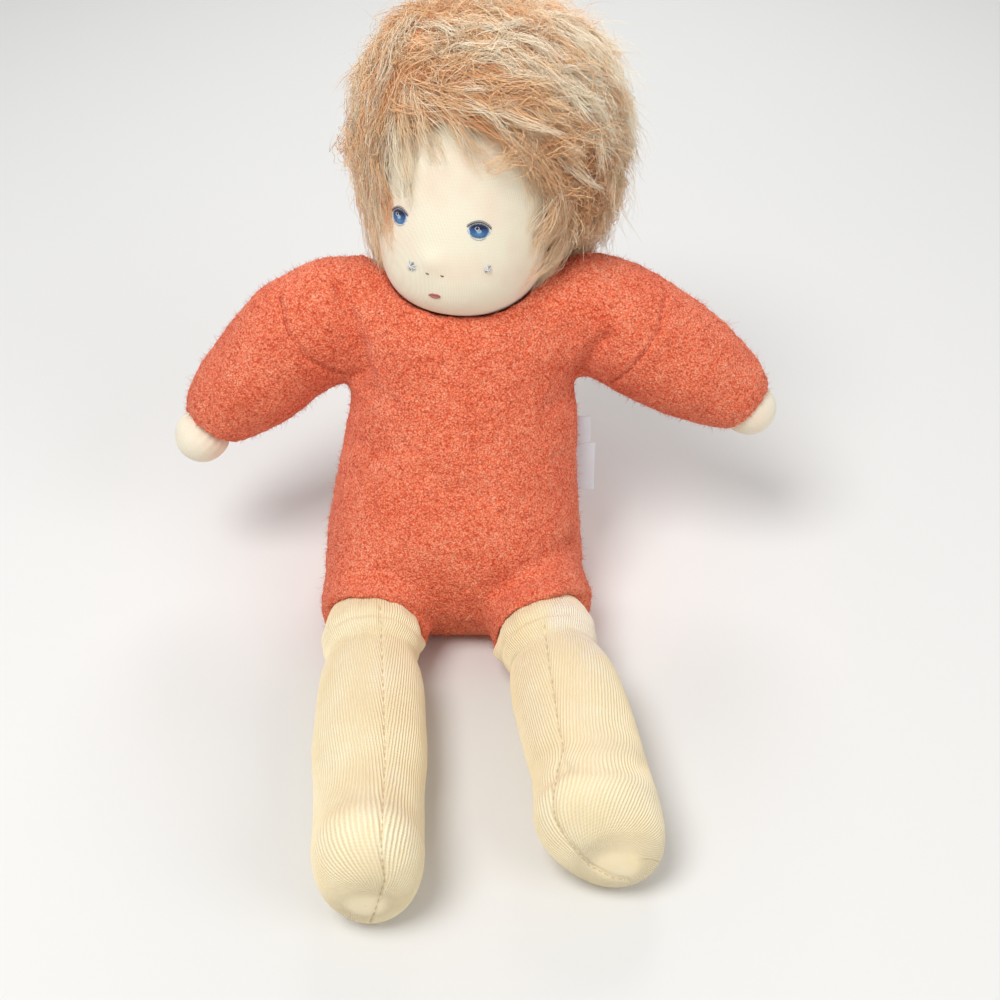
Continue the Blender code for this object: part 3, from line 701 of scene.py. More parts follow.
class Graph:
    """Adds nodes to one tree and links them."""

    def __init__(self, tree) -> None:
        """Works on a material's or group's tree."""
        self.tree = tree

    def add(self, kind: str, settings: dict | None = None, **inputs) -> bpy.types.Node:
        """Adds one node.

        Args:
            kind: the node's type.
            settings: the node's own properties.
            inputs: a value or an output socket for each input, by name with _ for a space.

        Returns:
            The node.
        """
        node = self.tree.nodes.new(kind)
        for key, value in (settings or {}).items():
            setattr(node, key, value)
        for key, value in inputs.items():
            self.feed(node.inputs[key.replace("_", " ")], value)
        return node

    def feed(self, socket, value) -> None:
        """Links or sets one input."""
        if isinstance(value, bpy.types.NodeSocket):
            self.tree.links.new(value, socket)
        else:
            socket.default_value = value

    def noise(
        self, vector, scale: float, detail: float = 3.0, roughness: float = 0.55
    ) -> bpy.types.NodeSocket:
        """The value of a noise pattern."""
        node = self.add(
            "ShaderNodeTexNoise", Vector=vector, Scale=scale, Detail=detail, Roughness=roughness
        )
        return node.outputs["Fac"]

    def math(self, operation: str, first, second=0.0, third=0.0) -> bpy.types.NodeSocket:
        """The result of one sum."""
        node = self.add("ShaderNodeMath", {"operation": operation})
        for socket, value in zip(node.inputs, (first, second, third)):
            self.feed(socket, value)
        return node.outputs[0]

    def ramp(self, value, stops) -> bpy.types.NodeSocket:
        """The colour of a ramp of (place, colour) stops."""
        node = self.add("ShaderNodeValToRGB", Fac=value)
        marks = node.color_ramp.elements
        while len(marks) < len(stops):
            marks.new(0.5)
        for mark, (place, colour) in zip(marks, stops):
            mark.position = place
            mark.color = (*linear(colour), 1)
        return node.outputs["Color"]

    def mix(self, share, first, second, blend: str = "MIX") -> bpy.types.NodeSocket:
        """One colour mixed from two."""
        node = self.add("ShaderNodeMix", {"data_type": "RGBA", "blend_type": blend})
        self.feed(node.inputs[0], share)
        self.feed(node.inputs[6], first)
        self.feed(node.inputs[7], second)
        return node.outputs[2]

    def attribute(self, name: str, output: str) -> bpy.types.NodeSocket:
        """One output of a stored attribute."""
        return self.add("ShaderNodeAttribute", {"attribute_name": name}).outputs[output]


def linear(colour: tuple) -> tuple:
    """A colour of 0 to 255 steps as the shader's linear values."""
    out = []
    for step in colour:
        c = step / 255
        out.append(c / 12.92 if c <= 0.04045 else ((c + 0.055) / 1.055) ** 2.4)
    return tuple(out)


def shade(colour: tuple) -> tuple:
    """A colour of 0 to 255 steps as a socket's value."""
    return (*linear(colour), 1)


class Effect:
    """A shared shader group with named inputs and outputs, built once and used by several finishes."""

    name = "effect"
    inputs: tuple = ()
    outputs: tuple = ()

    def wire(self, graph: Graph, source: bpy.types.Node, sink: bpy.types.Node) -> None:
        """Fills the group; each effect has its own."""
        raise NotImplementedError

    def tree(self) -> bpy.types.NodeTree:
        """The group's tree, made when first asked for."""
        found = bpy.data.node_groups.get(self.name)
        if found:
            return found
        tree = bpy.data.node_groups.new(self.name, "ShaderNodeTree")
        for direction, sockets in (("INPUT", self.inputs), ("OUTPUT", self.outputs)):
            for label, kind in sockets:
                tree.interface.new_socket(label, in_out=direction, socket_type=kind)
        source = tree.nodes.new("NodeGroupInput")
        sink = tree.nodes.new("NodeGroupOutput")
        self.wire(Graph(tree), source, sink)
        return tree

    def use(self, graph: Graph, **inputs) -> bpy.types.Node:
        """Adds this effect to a material's graph and returns its node."""
        node = graph.add("ShaderNodeGroup")
        node.node_tree = self.tree()
        for key, value in inputs.items():
            graph.feed(node.inputs[key.replace("_", " ")], value)
        return node


COLOUR = "NodeSocketColor"
FLOAT = "NodeSocketFloat"
VECTOR = "NodeSocketVector"


class WoolNap(Effect):
    """Felted curls of boiled wool: colour, height and roughness."""

    name = "wool_nap"
    inputs = (("Place", VECTOR), ("Deep", COLOUR), ("Mid", COLOUR), ("Pale", COLOUR))
    outputs = (("Color", COLOUR), ("Height", FLOAT), ("Roughness", FLOAT))

    def wire(self, graph: Graph, source: bpy.types.Node, sink: bpy.types.Node) -> None:
        """Curls from a warped cell pattern over a slow mottling, with painted shade in the curls' hollows and
        paler curl tops.
        """
        place = source.outputs["Place"]
        warp = graph.add("ShaderNodeTexNoise", Vector=place, Scale=900.0, Detail=2.0)
        bent = graph.add("ShaderNodeVectorMath", {"operation": "MULTIPLY_ADD"})
        graph.feed(bent.inputs[0], warp.outputs["Color"])
        graph.feed(bent.inputs[1], (0.0013, 0.0013, 0.0013))
        graph.feed(bent.inputs[2], place)
        curls = graph.add("ShaderNodeTexVoronoi", {"feature": "F1"}, Scale=1350.0)
        graph.feed(curls.inputs["Vector"], bent.outputs[0])
        curl = graph.math("SUBTRACT", 1.0, curls.outputs["Distance"])
        fine = graph.noise(place, 2600.0, 2.0, 0.6)
        slow = graph.noise(place, 75.0, 4.0, 0.6)
        patch = graph.noise(place, 420.0, 3.0, 0.7)
        # The curl and fine terms follow the bump, so they paint shade in its hollows and paler tops; the patch
        # and slow terms are the wool's own mottling.
        tone = graph.math("MULTIPLY_ADD", curl, 0.6, graph.math("MULTIPLY", patch, 0.42))
        tone = graph.math("MULTIPLY_ADD", slow, 0.28, tone)
        tone = graph.math("MULTIPLY_ADD", fine, 0.30, tone)
        low = graph.add("ShaderNodeMapRange", Value=tone, From_Min=0.55, From_Max=0.86)
        high = graph.add("ShaderNodeMapRange", Value=tone, From_Min=0.84, From_Max=1.10)
        body = graph.mix(low.outputs[0], source.outputs["Deep"], source.outputs["Mid"])
        body = graph.mix(high.outputs[0], body, source.outputs["Pale"])
        graph.feed(sink.inputs["Color"], body)
        height = graph.math("MULTIPLY_ADD", fine, 0.35, curl)
        graph.feed(sink.inputs["Height"], height)
        rough = graph.math("MULTIPLY_ADD", patch, 0.12, 0.84)
        graph.feed(sink.inputs["Roughness"], rough)


class RibKnit(Effect):
    """Wales and stitches of a rib knit, from a map with one wale for each unit across."""

    name = "rib_knit"
    inputs = (("Map", VECTOR), ("Place", VECTOR))
    outputs = (("Height", FLOAT), ("Furrow", FLOAT), ("Wear", FLOAT))

    def wire(self, graph: Graph, source: bpy.types.Node, sink: bpy.types.Node) -> None:
        """Rounded wales crossed by small loops."""
        split = graph.add("ShaderNodeSeparateXYZ", Vector=source.outputs["Map"])
        place = source.outputs["Place"]
        wander = graph.math("MULTIPLY", graph.noise(place, 300.0, 2.0), 0.5)
        across = graph.math("ADD", split.outputs["X"], wander)
        wale = graph.math("SINE", graph.math("MULTIPLY", across, 2 * math.pi))
        loops = graph.math("SINE", graph.math("MULTIPLY", split.outputs["Y"], 2 * math.pi))
        wave = graph.math("MULTIPLY_ADD", wale, 0.5, 0.5)
        height = graph.math("MULTIPLY_ADD", loops, 0.16, wave)
        height = graph.math("MULTIPLY_ADD", graph.noise(place, 3200.0, 2.0), 0.35, height)
        graph.feed(sink.inputs["Height"], height)
        # The furrow mask marks painted shade in the furrows between the wales.
        graph.feed(sink.inputs["Furrow"], graph.math("POWER", graph.math("SUBTRACT", 1.0, wave), 2.0))
        wear = graph.add(
            "ShaderNodeMapRange", Value=graph.noise(place, 60.0, 3.0), From_Min=0.35, From_Max=0.7
        )
        graph.feed(sink.inputs["Wear"], wear.outputs[0])


class FineKnit(Effect):
    """The small loops of a fine jersey, from its place in the object."""

    name = "fine_knit"
    inputs = (("Place", VECTOR), ("Loop Size", FLOAT))
    outputs = (("Height", FLOAT), ("Furrow", FLOAT), ("Blush", FLOAT))

    def wire(self, graph: Graph, source: bpy.types.Node, sink: bpy.types.Node) -> None:
        """Two crossed sets of waves, broken by fibre noise."""
        place = source.outputs["Place"]
        scale = graph.math("DIVIDE", 2 * math.pi, source.outputs["Loop Size"])
        split = graph.add("ShaderNodeSeparateXYZ", Vector=place)
        wander = graph.math("MULTIPLY", graph.noise(place, 500.0, 2.0), 2.4)
        flat = graph.math("ADD", split.outputs["X"], graph.math("MULTIPLY", split.outputs["Y"], 0.8))
        across = graph.math("ADD", graph.math("MULTIPLY", flat, scale), wander)
        down = graph.math("ADD", graph.math("MULTIPLY", split.outputs["Z"], scale), wander)
        wales = graph.math("SINE", across)
        rows = graph.math("SINE", graph.math("MULTIPLY", down, 0.8))
        woven = graph.math("MULTIPLY_ADD", rows, 0.5, wales)
        fibre = graph.noise(place, 3500.0, 3.0, 0.6)
        height = graph.math("MULTIPLY_ADD", woven, 0.14, fibre)
        graph.feed(sink.inputs["Height"], height)
        # The furrow mask marks painted shade in the hollows between the loops.
        furrow = graph.add("ShaderNodeMapRange", Value=woven, From_Min=-1.3, From_Max=0.6)
        graph.feed(sink.inputs["Furrow"], graph.math("SUBTRACT", 1.0, furrow.outputs[0]))
        graph.feed(sink.inputs["Blush"], graph.noise(place, 55.0, 2.0))


class ThreadPly(Effect):
    """The twist of a sewing thread."""

    name = "thread_ply"
    inputs = (("Place", VECTOR), ("Color", COLOUR))
    outputs = (("Color", COLOUR), ("Height", FLOAT))

    def wire(self, graph: Graph, source: bpy.types.Node, sink: bpy.types.Node) -> None:
        """Fine fibres, with painted shade darkening the thread between them."""
        fibre = graph.noise(source.outputs["Place"], 4200.0, 3.0, 0.6)
        dark = graph.mix(0.45, source.outputs["Color"], (0.0, 0.0, 0.0, 1.0), "MULTIPLY")
        range_ = graph.add("ShaderNodeMapRange", Value=fibre, From_Min=0.3, From_Max=0.62)
        graph.feed(sink.inputs["Color"], graph.mix(range_.outputs[0], dark, source.outputs["Color"]))
        graph.feed(sink.inputs["Height"], fibre)


class Finish:
    """A fabric finish: builds its material once and puts it on pieces."""

    label = "finish"
    roughness = 0.85
    sheen = 0.0
    sheen_roughness = 0.5
    specular = 0.3
    subsurface = 0.0

    def wire(self, graph: Graph) -> dict:
        """The sockets for the shader: Color, and optionally Height, Roughness, Bump and Strength."""
        raise NotImplementedError

    def material(self) -> bpy.types.Material:
        """The material, made when first asked for."""
        found = bpy.data.materials.get(self.label)
        if found:
            return found
        made = bpy.data.materials.new(self.label)
        made.use_nodes = True
        tree = made.node_tree
        tree.nodes.clear()
        graph = Graph(tree)
        shader = graph.add("ShaderNodeBsdfPrincipled")
        shader.inputs["Roughness"].default_value = self.roughness
        shader.inputs["Sheen Weight"].default_value = self.sheen
        shader.inputs["Sheen Roughness"].default_value = self.sheen_roughness
        shader.inputs["Specular IOR Level"].default_value = self.specular
        if self.subsurface:
            shader.inputs["Subsurface Weight"].default_value = self.subsurface
            shader.inputs["Subsurface Radius"].default_value = (1.0, 0.7, 0.5)
            shader.inputs["Subsurface Scale"].default_value = 0.002
        sockets = self.wire(graph)
        graph.feed(shader.inputs["Base Color"], sockets["Color"])
        if "Roughness" in sockets:
            graph.feed(shader.inputs["Roughness"], sockets["Roughness"])
        if "Height" in sockets:
            bump = graph.add("ShaderNodeBump", Height=sockets["Height"])
            bump.inputs["Strength"].default_value = sockets.get("Strength", 0.5)
            bump.inputs["Distance"].default_value = sockets.get("Depth", 0.0004)
            graph.feed(shader.inputs["Normal"], bump.outputs["Normal"])
        out = graph.add("ShaderNodeOutputMaterial")
        graph.feed(out.inputs["Surface"], shader.outputs["BSDF"])
        return made

    def dress(self, *objects) -> None:
        """Gives the objects this finish."""
        for obj in objects:
            obj.data.materials.clear()
            obj.data.materials.append(self.material())


@dataclass(frozen=True)
class OrangeFleece(Finish):
    """Boiled-wool fleece with felted curls."""

    deep: tuple = (208, 80, 50)
    mid: tuple = (252, 131, 94)
    pale: tuple = (255, 186, 152)
    label: str = "boiled_wool"
    roughness: float = 0.9
    sheen: float = 0.1
    specular: float = 0.12

    def wire(self, graph: Graph) -> dict:
        """The nap's colour, height and roughness."""
        place = graph.attribute(REST, "Vector")
        nap = WoolNap().use(
            graph, Place=place, Deep=shade(self.deep), Mid=shade(self.mid), Pale=shade(self.pale)
        )
        return {
            "Color": nap.outputs["Color"],
            "Roughness": nap.outputs["Roughness"],
            "Height": nap.outputs["Height"],
            "Strength": 0.8,
            "Depth": 0.0008,
        }


@dataclass(frozen=True)
class CreamJersey(Finish):
    """Fine skin jersey, a little warmer where it is blushed."""

    base: tuple = (242, 233, 210)
    furrow: tuple = (220, 208, 180)
    blush: tuple = (242, 220, 198)
    loop: float = 0.9
    label: str = "skin_jersey"
    roughness: float = 0.8
    sheen: float = 0.15
    specular: float = 0.2
    subsurface: float = 0.1

    def wire(self, graph: Graph) -> dict:
        """Fine loops over a slow change of warmth, with painted shade in the hollows between the loops."""
        knit = FineKnit().use(graph, Place=graph.attribute(REST, "Vector"), Loop_Size=self.loop * MM)
        warm = graph.add(
            "ShaderNodeMapRange", Value=knit.outputs["Blush"], From_Min=0.45, From_Max=0.75
        )
        base = graph.mix(warm.outputs[0], shade(self.base), shade(self.blush))
        # Painted shade: the furrow colour mixed in where the loops dip.
        dark = graph.math("MULTIPLY", knit.outputs["Furrow"], 0.2)
        return {
            "Color": graph.mix(dark, base, shade(self.furrow)),
            "Height": knit.outputs["Height"],
            "Strength": 0.35,
            "Depth": 0.0003,
        }


@dataclass(frozen=True)
class TanRib(Finish):
    """Tan rib knit with painted shade in the furrows between its wales and paler, worn areas; a negative tint
    is plain.
    """

    base: tuple = (250, 232, 190)
    furrow: tuple = (224, 196, 148)
    worn: tuple = (252, 240, 206)
    faded: tuple = (250, 240, 224)
    label: str = "leg_rib"
    roughness: float = 0.82
    sheen: float = 0.2
    specular: float = 0.2

    def wire(self, graph: Graph) -> dict:
        """Wales from the piece's own map, with wear."""
        chart = graph.add("ShaderNodeUVMap").outputs["UV"]
        knit = RibKnit().use(graph, Map=chart, Place=graph.attribute(REST, "Vector"))
        base = graph.mix(knit.outputs["Wear"], shade(self.base), shade(self.worn))
        mask = graph.attribute(TINT, "Fac")
        faded = graph.math("MULTIPLY", graph.math("MAXIMUM", mask, 0.0), 0.8)
        ribbed = graph.math("ADD", graph.math("MINIMUM", mask, 0.0), 1.0)
        base = graph.mix(faded, base, shade(self.faded))
        # Painted shade: the furrow colour mixed in between the wales, less where the tint is negative.
        furrow = graph.math("SUBTRACT", knit.outputs["Furrow"], 0.38)
        dark = graph.math("MULTIPLY_ADD", graph.math("MULTIPLY", furrow, ribbed), 0.5, 0.19)
        return {
            "Color": graph.mix(dark, base, shade(self.furrow)),
            "Height": graph.math("MULTIPLY", knit.outputs["Height"], ribbed),
            "Strength": 0.55,
            "Depth": 0.0005,
        }


@dataclass(frozen=True)
class Mohair(Finish):
    """Long mohair fibre whose tone is stored along each lock; its shadow tone is painted shade and its palest
    tone partly painted highlight.
    """

    shadow: tuple = (228, 144, 90)
    ginger: tuple = (255, 204, 144)
    light: tuple = (255, 246, 222)
    label: str = "long_mohair"
    roughness: float = 0.42
    sheen: float = 0.25
    specular: float = 0.5

    def wire(self, graph: Graph) -> dict:
        """The stored tone through a ramp, with small changes along the fibre."""
        tone = graph.attribute(TINT, "Fac")
        place = graph.add("ShaderNodeTexCoord").outputs["Object"]
        drift = graph.noise(place, 700.0, 2.0)
        tone = graph.math("MULTIPLY_ADD", graph.math("SUBTRACT", drift, 0.5), 0.35, tone)
        # The ramp runs from painted shade, through the ginger of the fibre, to a pale tone that is partly the
        # mohair's own paler fibres and partly painted highlight.
        stops = ((0.0, self.shadow), (0.5, self.ginger), (1.0, self.light))
        rough = graph.math("MULTIPLY_ADD", drift, 0.2, 0.34)
        return {"Color": graph.ramp(tone, stops), "Roughness": rough}


@dataclass(frozen=True)
class Thread(Finish):
    """Stitching thread whose colour is stored on the piece."""

    label: str = "stitch_thread"
    roughness: float = 0.55
    sheen: float = 0.2
    specular: float = 0.4

    def wire(self, graph: Graph) -> dict:
        """The stored colour with the thread's own twist."""
        place = graph.add("ShaderNodeTexCoord").outputs["Object"]
        ply = ThreadPly().use(graph, Place=place, Color=graph.attribute(TINT, "Color"))
        return {"Color": ply.outputs["Color"], "Height": ply.outputs["Height"], "Depth": 0.0001}


@dataclass(frozen=True)
class WhiteSatin(Finish):
    """White woven satin ribbon."""

    base: tuple = (232, 238, 242)
    weft: tuple = (206, 214, 222)
    label: str = "ribbon_satin"
    roughness: float = 0.35
    sheen: float = 0.1
    specular: float = 0.5

    def wire(self, graph: Graph) -> dict:
        """Fine weft lines across the ribbon, with the greyer weft colour as painted shade in the weave's low
        grooves.
        """
        chart = graph.add("ShaderNodeUVMap").outputs["UV"]
        split = graph.add("ShaderNodeSeparateXYZ", Vector=chart)
        weft = graph.math("SINE", graph.math("MULTIPLY", split.outputs["Y"], 2 * math.pi * 3))
        warp = graph.math("SINE", graph.math("MULTIPLY", split.outputs["X"], 2 * math.pi * 2))
        woven = graph.math("MULTIPLY_ADD", warp, 0.4, weft)
        share = graph.add("ShaderNodeMapRange", Value=woven, From_Min=-1.4, From_Max=1.4)
        return {
            "Color": graph.mix(share.outputs[0], shade(self.weft), shade(self.base)),
            "Height": share.outputs[0],
            "Roughness": graph.math("MULTIPLY_ADD", share.outputs[0], 0.15, 0.3),
            "Strength": 0.3,
            "Depth": 0.0001,
        }


@dataclass(frozen=True)
class FloorPaper(Finish):
    """Plain pale studio paper."""

    base: tuple = (226, 225, 222)
    label: str = "floor_paper"
    roughness: float = 0.9

    def wire(self, graph: Graph) -> dict:
        """One pale tone with the faintest grain."""
        place = graph.add("ShaderNodeTexCoord").outputs["Object"]
        grain = graph.noise(place, 400.0, 3.0)
        soft = graph.math("MULTIPLY", grain, 0.06)
        return {"Color": graph.mix(soft, shade(self.base), shade((205, 204, 200)))}


# Pieces of the doll


@dataclass
class Suit:
    """The fleece suit: a stuffed torso and two sleeves sewn on at the shoulders."""

    voxel: float = 2.1
    thigh: float = 20.8
    low: tuple = (-116.0, -56.0, -5.0)
    high: tuple = (126.0, 70.0, 148.0)
    pressure: float = 60.0
    cap: float = 2.0
    armpit: tuple = (49.0, 88.0)
    seam_slope: float = 0.12
    bend: float = 22.0
    nap: float = 0.34
    hip_room: float = 17.5
    thigh_shift: tuple = (1.2, -0.9)
    chin_drop: float = 2.4
    cuff_room: float = 8.6
    cuff_tilt: tuple = (0.26, 0.2)
    chin_gap: float = 0.3
    finish: Finish = OrangeFleece()

    TORSO = (
        (-0.6, 33, 27, 2.0, 0, 0, 2.2),
        (2.5, 49, 34.5, 3.0, -1.0, -3, 2.6),
        (17, 50.2, 38.5, 1.5, -3.9, -8, 3.0),
        (36, 48.4, 39.0, 5, -2.8, -14, 2.9),
        (54, 46.6, 34.3, 14, -1.3, -18, 2.4),
        (71, 45.2, 32.6, 24, 1.0, -20, 2.1),
        (87, 42.6, 30.6, 31.5, 0.8, -20, 2.1),
        (103, 44, 28, 37, 0, -20, 2.1),
        (117, 42, 22.5, 42, 0, -20, 2.1),
        (124, 30, 14, 44, 0, -20, 2.0),
    )
    SLEEVES = {
        Side.RIGHT: (
            (-26, 10, 10, 0, -1, 0, 2),
            (-14, 18.5, 17.5, 0, -1.5, 0, 2),
            (0, 21.4, 20, 0, -3.0, 0, 2),
            (12, 22.6, 21, 0, -4.0, 0, 2),
            (25, 21.4, 21, 0, -3.9, 0, 2),
            (38, 20.0, 20, 0, -3.0, 0, 2),
            (49, 18.3, 18.2, 0, -2.5, 0, 2),
            (57, 16.0, 15.8, 0, -2.2, 0, 2),
            (62.0, 14.3, 14.2, 0, -1.6, 0, 2),
            (66, 11.9, 11.9, 0, -0.6, 0, 2),
        ),
        Side.LEFT: (
            (-26, 10, 10, 0, -1, 0, 2),
            (-14, 19.6, 17.5, 0, -3.0, 0, 2),
            (0, 22.4, 20, 0, -4.8, 0, 2),
            (12, 22.8, 21, 0, -5.4, 0, 2),
            (25, 22.5, 21.5, 0, -4.9, 0, 2),
            (39, 21.5, 21, 0, -4.1, 0, 2),
            (50, 19.9, 19.6, 0, -3.3, 0, 2),
            (59, 17.6, 17.3, 0, -2.7, 0, 2),
            (67, 15.4, 15.3, 0, -2.0, 0, 2),
            (73.5, 12.0, 12.0, 0, -0.6, 0, 2),
        ),
    }
    FOLDS = (
        (((577, 540), (545, 560), (500, 590)), 10, 1.8),
        (((362, 580), (390, 594), (430, 620)), 10, 1.4),
        (((430, 476), (452, 492), (480, 496)), 14, 1.3),
        (((340, 285), (350, 318), (358, 345), (364, 372)), 8, 3.0),
        (((604, 340), (594, 350), (586, 362), (578, 378)), 8, 2.8),
        (((355, 375), (372, 392), (392, 402)), 7, 1.3),
        (((582, 382), (566, 398), (548, 406)), 7, 1.3),
        (((347, 440), (375, 450), (405, 448)), 9, 0.8),
        (((576, 455), (545, 462), (520, 458)), 9, 0.8),
    )

    SEAMS = (
        (((279, 296), (287, 333), (306, 358), (326, 369), (346, 375)), 2.6, 1.15),
        (((666, 296), (659, 330), (646, 352), (630, 370), (610, 384)), 2.6, 0.95),
    )

    def field(self, points: np.ndarray) -> np.ndarray:
        """How far points lie outside the suit, negative inside."""
        out = loft_field(points, self.TORSO)
        for side in Side:
            arm = self.in_sleeve(points, side)
            sleeve = loft_field(arm, self.SLEEVES[side])
            cuff = np.hypot(arm[:, 0], arm[:, 1]) - self.cuff_room
            cuff = np.maximum(cuff, self.SLEEVES[side][-1][0] - 6 - arm[:, 2])
            sleeve = np.maximum(sleeve, -cuff)
            out = joined(out, sleeve, 7.0)
            out = np.where((arm[:, 2] > 50) & (np.hypot(arm[:, 0], arm[:, 1]) < 26), sleeve, out)
        for side in Side:
            hip, along = self.hip_line(side)
            reach = np.clip((points - hip) @ along, -16.0, 4.0)
            shift = self.thigh_shift[side is Side.LEFT]
            hip = hip - np.array((side.value * shift, 0, 0))
            thigh = np.linalg.norm(points - hip - reach[:, None] * along, axis=1) - self.thigh
            out = joined(out, thigh, 6.0)
        for side in Side:
            out = self.open_hip(points, out, side)
        out = np.maximum(out, -self.head_room(points))
        return np.maximum(out, 0.2 - points[:, 2])

    def in_sleeve(self, points: np.ndarray, side: Side) -> np.ndarray:
        """Points in an arm's frame, drawn out on the lower side so that the cuff ends aslant."""
        arm = local(points, STANCE.arm(side))
        low = np.clip(arm[:, 0] + 12, 0, 26) * smooth_step(28, 62, arm[:, 2])
        arm[:, 2] += self.cuff_tilt[side is Side.LEFT] * low
        return arm

    def head_room(self, points: np.ndarray) -> np.ndarray:
        """How far points lie outside the room of the head and the neck roll."""
        matrix, centre = STANCE.head(), (0.0, 0.0, 50.0)
        table = ReachTable(node_surface("head_skin"), matrix, centre)
        inner = local(points, matrix) - np.array(centre)
        inner[:, 2] += self.chin_drop
        away = np.linalg.norm(inner, axis=1)
        head = away - table(inner / away[:, None]) - self.chin_gap
        neck = local(points, STANCE.neck())
        roll = np.maximum(np.hypot(neck[:, 0], neck[:, 1]) - 11.0, -14 - neck[:, 2])
        return np.minimum(head, roll)

    def hip_line(self, side: Side) -> tuple:
        """A hip's centre and the direction of its leg."""
        hip = np.array((side.value * STANCE.hip[0], STANCE.hip[1], STANCE.hip[2]))
        turn = math.radians(STANCE.leg_turn[side is Side.LEFT])
        return hip, np.array((math.sin(turn), -math.cos(turn), 0.0))

    def open_hip(self, points: np.ndarray, out: np.ndarray, side: Side) -> np.ndarray:
        """Cuts the room of a leg and the line of the hem."""
        along, radial, hem = self.hem(points, side)
        away = np.linalg.norm(points - self.hip_line(side)[0], axis=1)
        room = np.where(along > 0, radial, away) - self.hip_room
        out = np.where(radial < 27, np.maximum(out, hem), out)
        return np.maximum(out, -room)

    def hem(self, points: np.ndarray, side: Side) -> tuple:
        """Each point's place along and away from a leg's axis, and how far it is past the hem."""
        hip, way = self.hip_line(side)
        away = points - hip
        along = away @ way
        outer = side.value * (away @ np.array((-way[1], way[0], 0.0)))
        radial = np.linalg.norm(away - along[:, None] * way, axis=1)
        return along, radial, along + 0.5 + 11.0 * np.clip(outer / 20, 0, 1.3) ** 1.6

    def even_hems(self, points: np.ndarray) -> np.ndarray:
        """Moves the points beside the hems onto them, so that the edges run clean."""
        for side in Side:
            _, radial, past = self.hem(points, side)
            near = (np.abs(past) < 1.3) & (radial < 25.5) & (radial > self.hip_room - 0.6)
            points = points - self.hip_line(side)[1] * np.where(near, past, 0)[:, None]
            arm = local(points, STANCE.arm(side))
            past = self.in_sleeve(points, side)[:, 2] - self.SLEEVES[side][-1][0]
            near = (np.abs(past) < 1.3) & (np.hypot(arm[:, 0], arm[:, 1]) < 17)
            arm[:, 2] -= np.where(near, past, 0)
            points = moved(arm, STANCE.arm(side))
        return points

    def held(self, points: np.ndarray) -> np.ndarray:
        """How firmly each point is held: at the neck, hips, cuffs and seat."""
        out = np.full(len(points), Hold.FREE.value)
        neck = local(points, STANCE.neck())
        out[(neck[:, 2] > 2) & (np.hypot(neck[:, 0], neck[:, 1]) < 46)] = Hold.FIRM.value
        out[points[:, 2] < 6] = Hold.FIRM.value
        for side in Side:
            hip = local(points, STANCE.leg(side))
            out[np.linalg.norm(hip, axis=1) < 24] = Hold.FIRM.value
            arm = local(points, STANCE.arm(side))
            out[(arm[:, 2] > 58) & (arm[:, 2] < 90)] = Hold.FIRM.value
        return out

    def build(self) -> dict:
        """Forms, swells, folds and splits the suit.

        Returns:
            The torso and the two sleeves by name.
        """
        points, quads = skinned(self.field, self.low, self.high, self.voxel)
        whole = make_mesh("suit", self.even_hems(points), quads)
        with_modifier(whole, "SMOOTH", factor=0.5, iterations=2)
        set_points(whole, self.even_hems(points_of(whole)))
        swell(whole, self.held(points_of(whole)), self.pressure, self.cap)
        with_modifier(whole, "SUBSURF", levels=1)
        points = press_folds(points_of(whole), normals_of(whole), self.FOLDS)
        points[:, 2] = np.maximum(points[:, 2], 0)
        set_points(whole, points)
        with_modifier(whole, "SUBSURF", levels=1)
        points, normals = points_of(whole), normals_of(whole)
        points = press_folds(points, normals, self.SEAMS)
        lumps = soft_noise(points, 1.5, 3) * 0.8 + soft_noise(points, 4.0, 5) * 0.6
        lumps += soft_noise(points, 13.0, 9) * 0.9
        points = points + normals * (lumps * self.nap)[:, None]
        points[:, 2] = np.maximum(points[:, 2], 0)
        set_points(whole, points)
        shade_smooth(whole)
        keep_rest(whole)
        self.fibres(whole)
        self.sewn = {}
        for side, (line, _, _) in zip(Side, self.SEAMS):
            paths = stitch_paths([Surface(whole)], line, 6.0, 4.2)[0]
            self.sewn[side.word] = stitch_rows(f"suit_seam_{side.word}", paths, (196, 84, 56))
        return self.split(whole)

    def seam(self, side: Side) -> tuple:
        """A point and the outward direction of the plane where a sleeve is sewn on."""
        out, height = self.armpit
        point = STANCE.body(side.value * out, 0, height)
        return point, STANCE.body(side.value, 0, self.seam_slope).normalized()

    def beyond(self, points: np.ndarray, side: Side) -> np.ndarray:
        """Which points belong to a sleeve."""
        point, normal = self.seam(side)
        arm = local(points, STANCE.arm(side))
        near = (np.hypot(arm[:, 0], arm[:, 1]) < 36) & (arm[:, 2] > -40)
        return near & ((points - np.array(point)) @ np.array(normal) > 0)

    def split(self, whole: bpy.types.Object) -> dict:
        """Cuts the sleeves off at their seams, with no gap."""
        form = bmesh.new()
        form.from_mesh(whole.data)
        for side in Side:
            point, normal = self.seam(side)
            centres = np.array([f.calc_center_median() for f in form.faces]) / MM
            arm = local(centres, STANCE.arm(side))
            away = (centres - np.array(point)) @ np.array(normal)
            near = (np.abs(away) < 3) & (np.hypot(arm[:, 0], arm[:, 1]) < 40)
            form.faces.ensure_lookup_table()
            faces = [form.faces[i] for i in np.nonzero(near)[0]]
            geometry = list({x for f in faces for x in (f, *f.edges, *f.verts)})
            bmesh.ops.bisect_plane(
                form, geom=geometry, plane_co=point * MM, plane_no=normal, dist=1e-7
            )
        cut = bpy.data.meshes.new("cut")
        form.to_mesh(cut)
        form.free()
        pieces = {"suit_torso": cut, **{f"suit_sleeve_{s.word}": cut.copy() for s in Side}}
        out = {}
        for name, mesh in pieces.items():
            out[name] = self.part(name, mesh)
        bpy.data.objects.remove(whole)
        return out

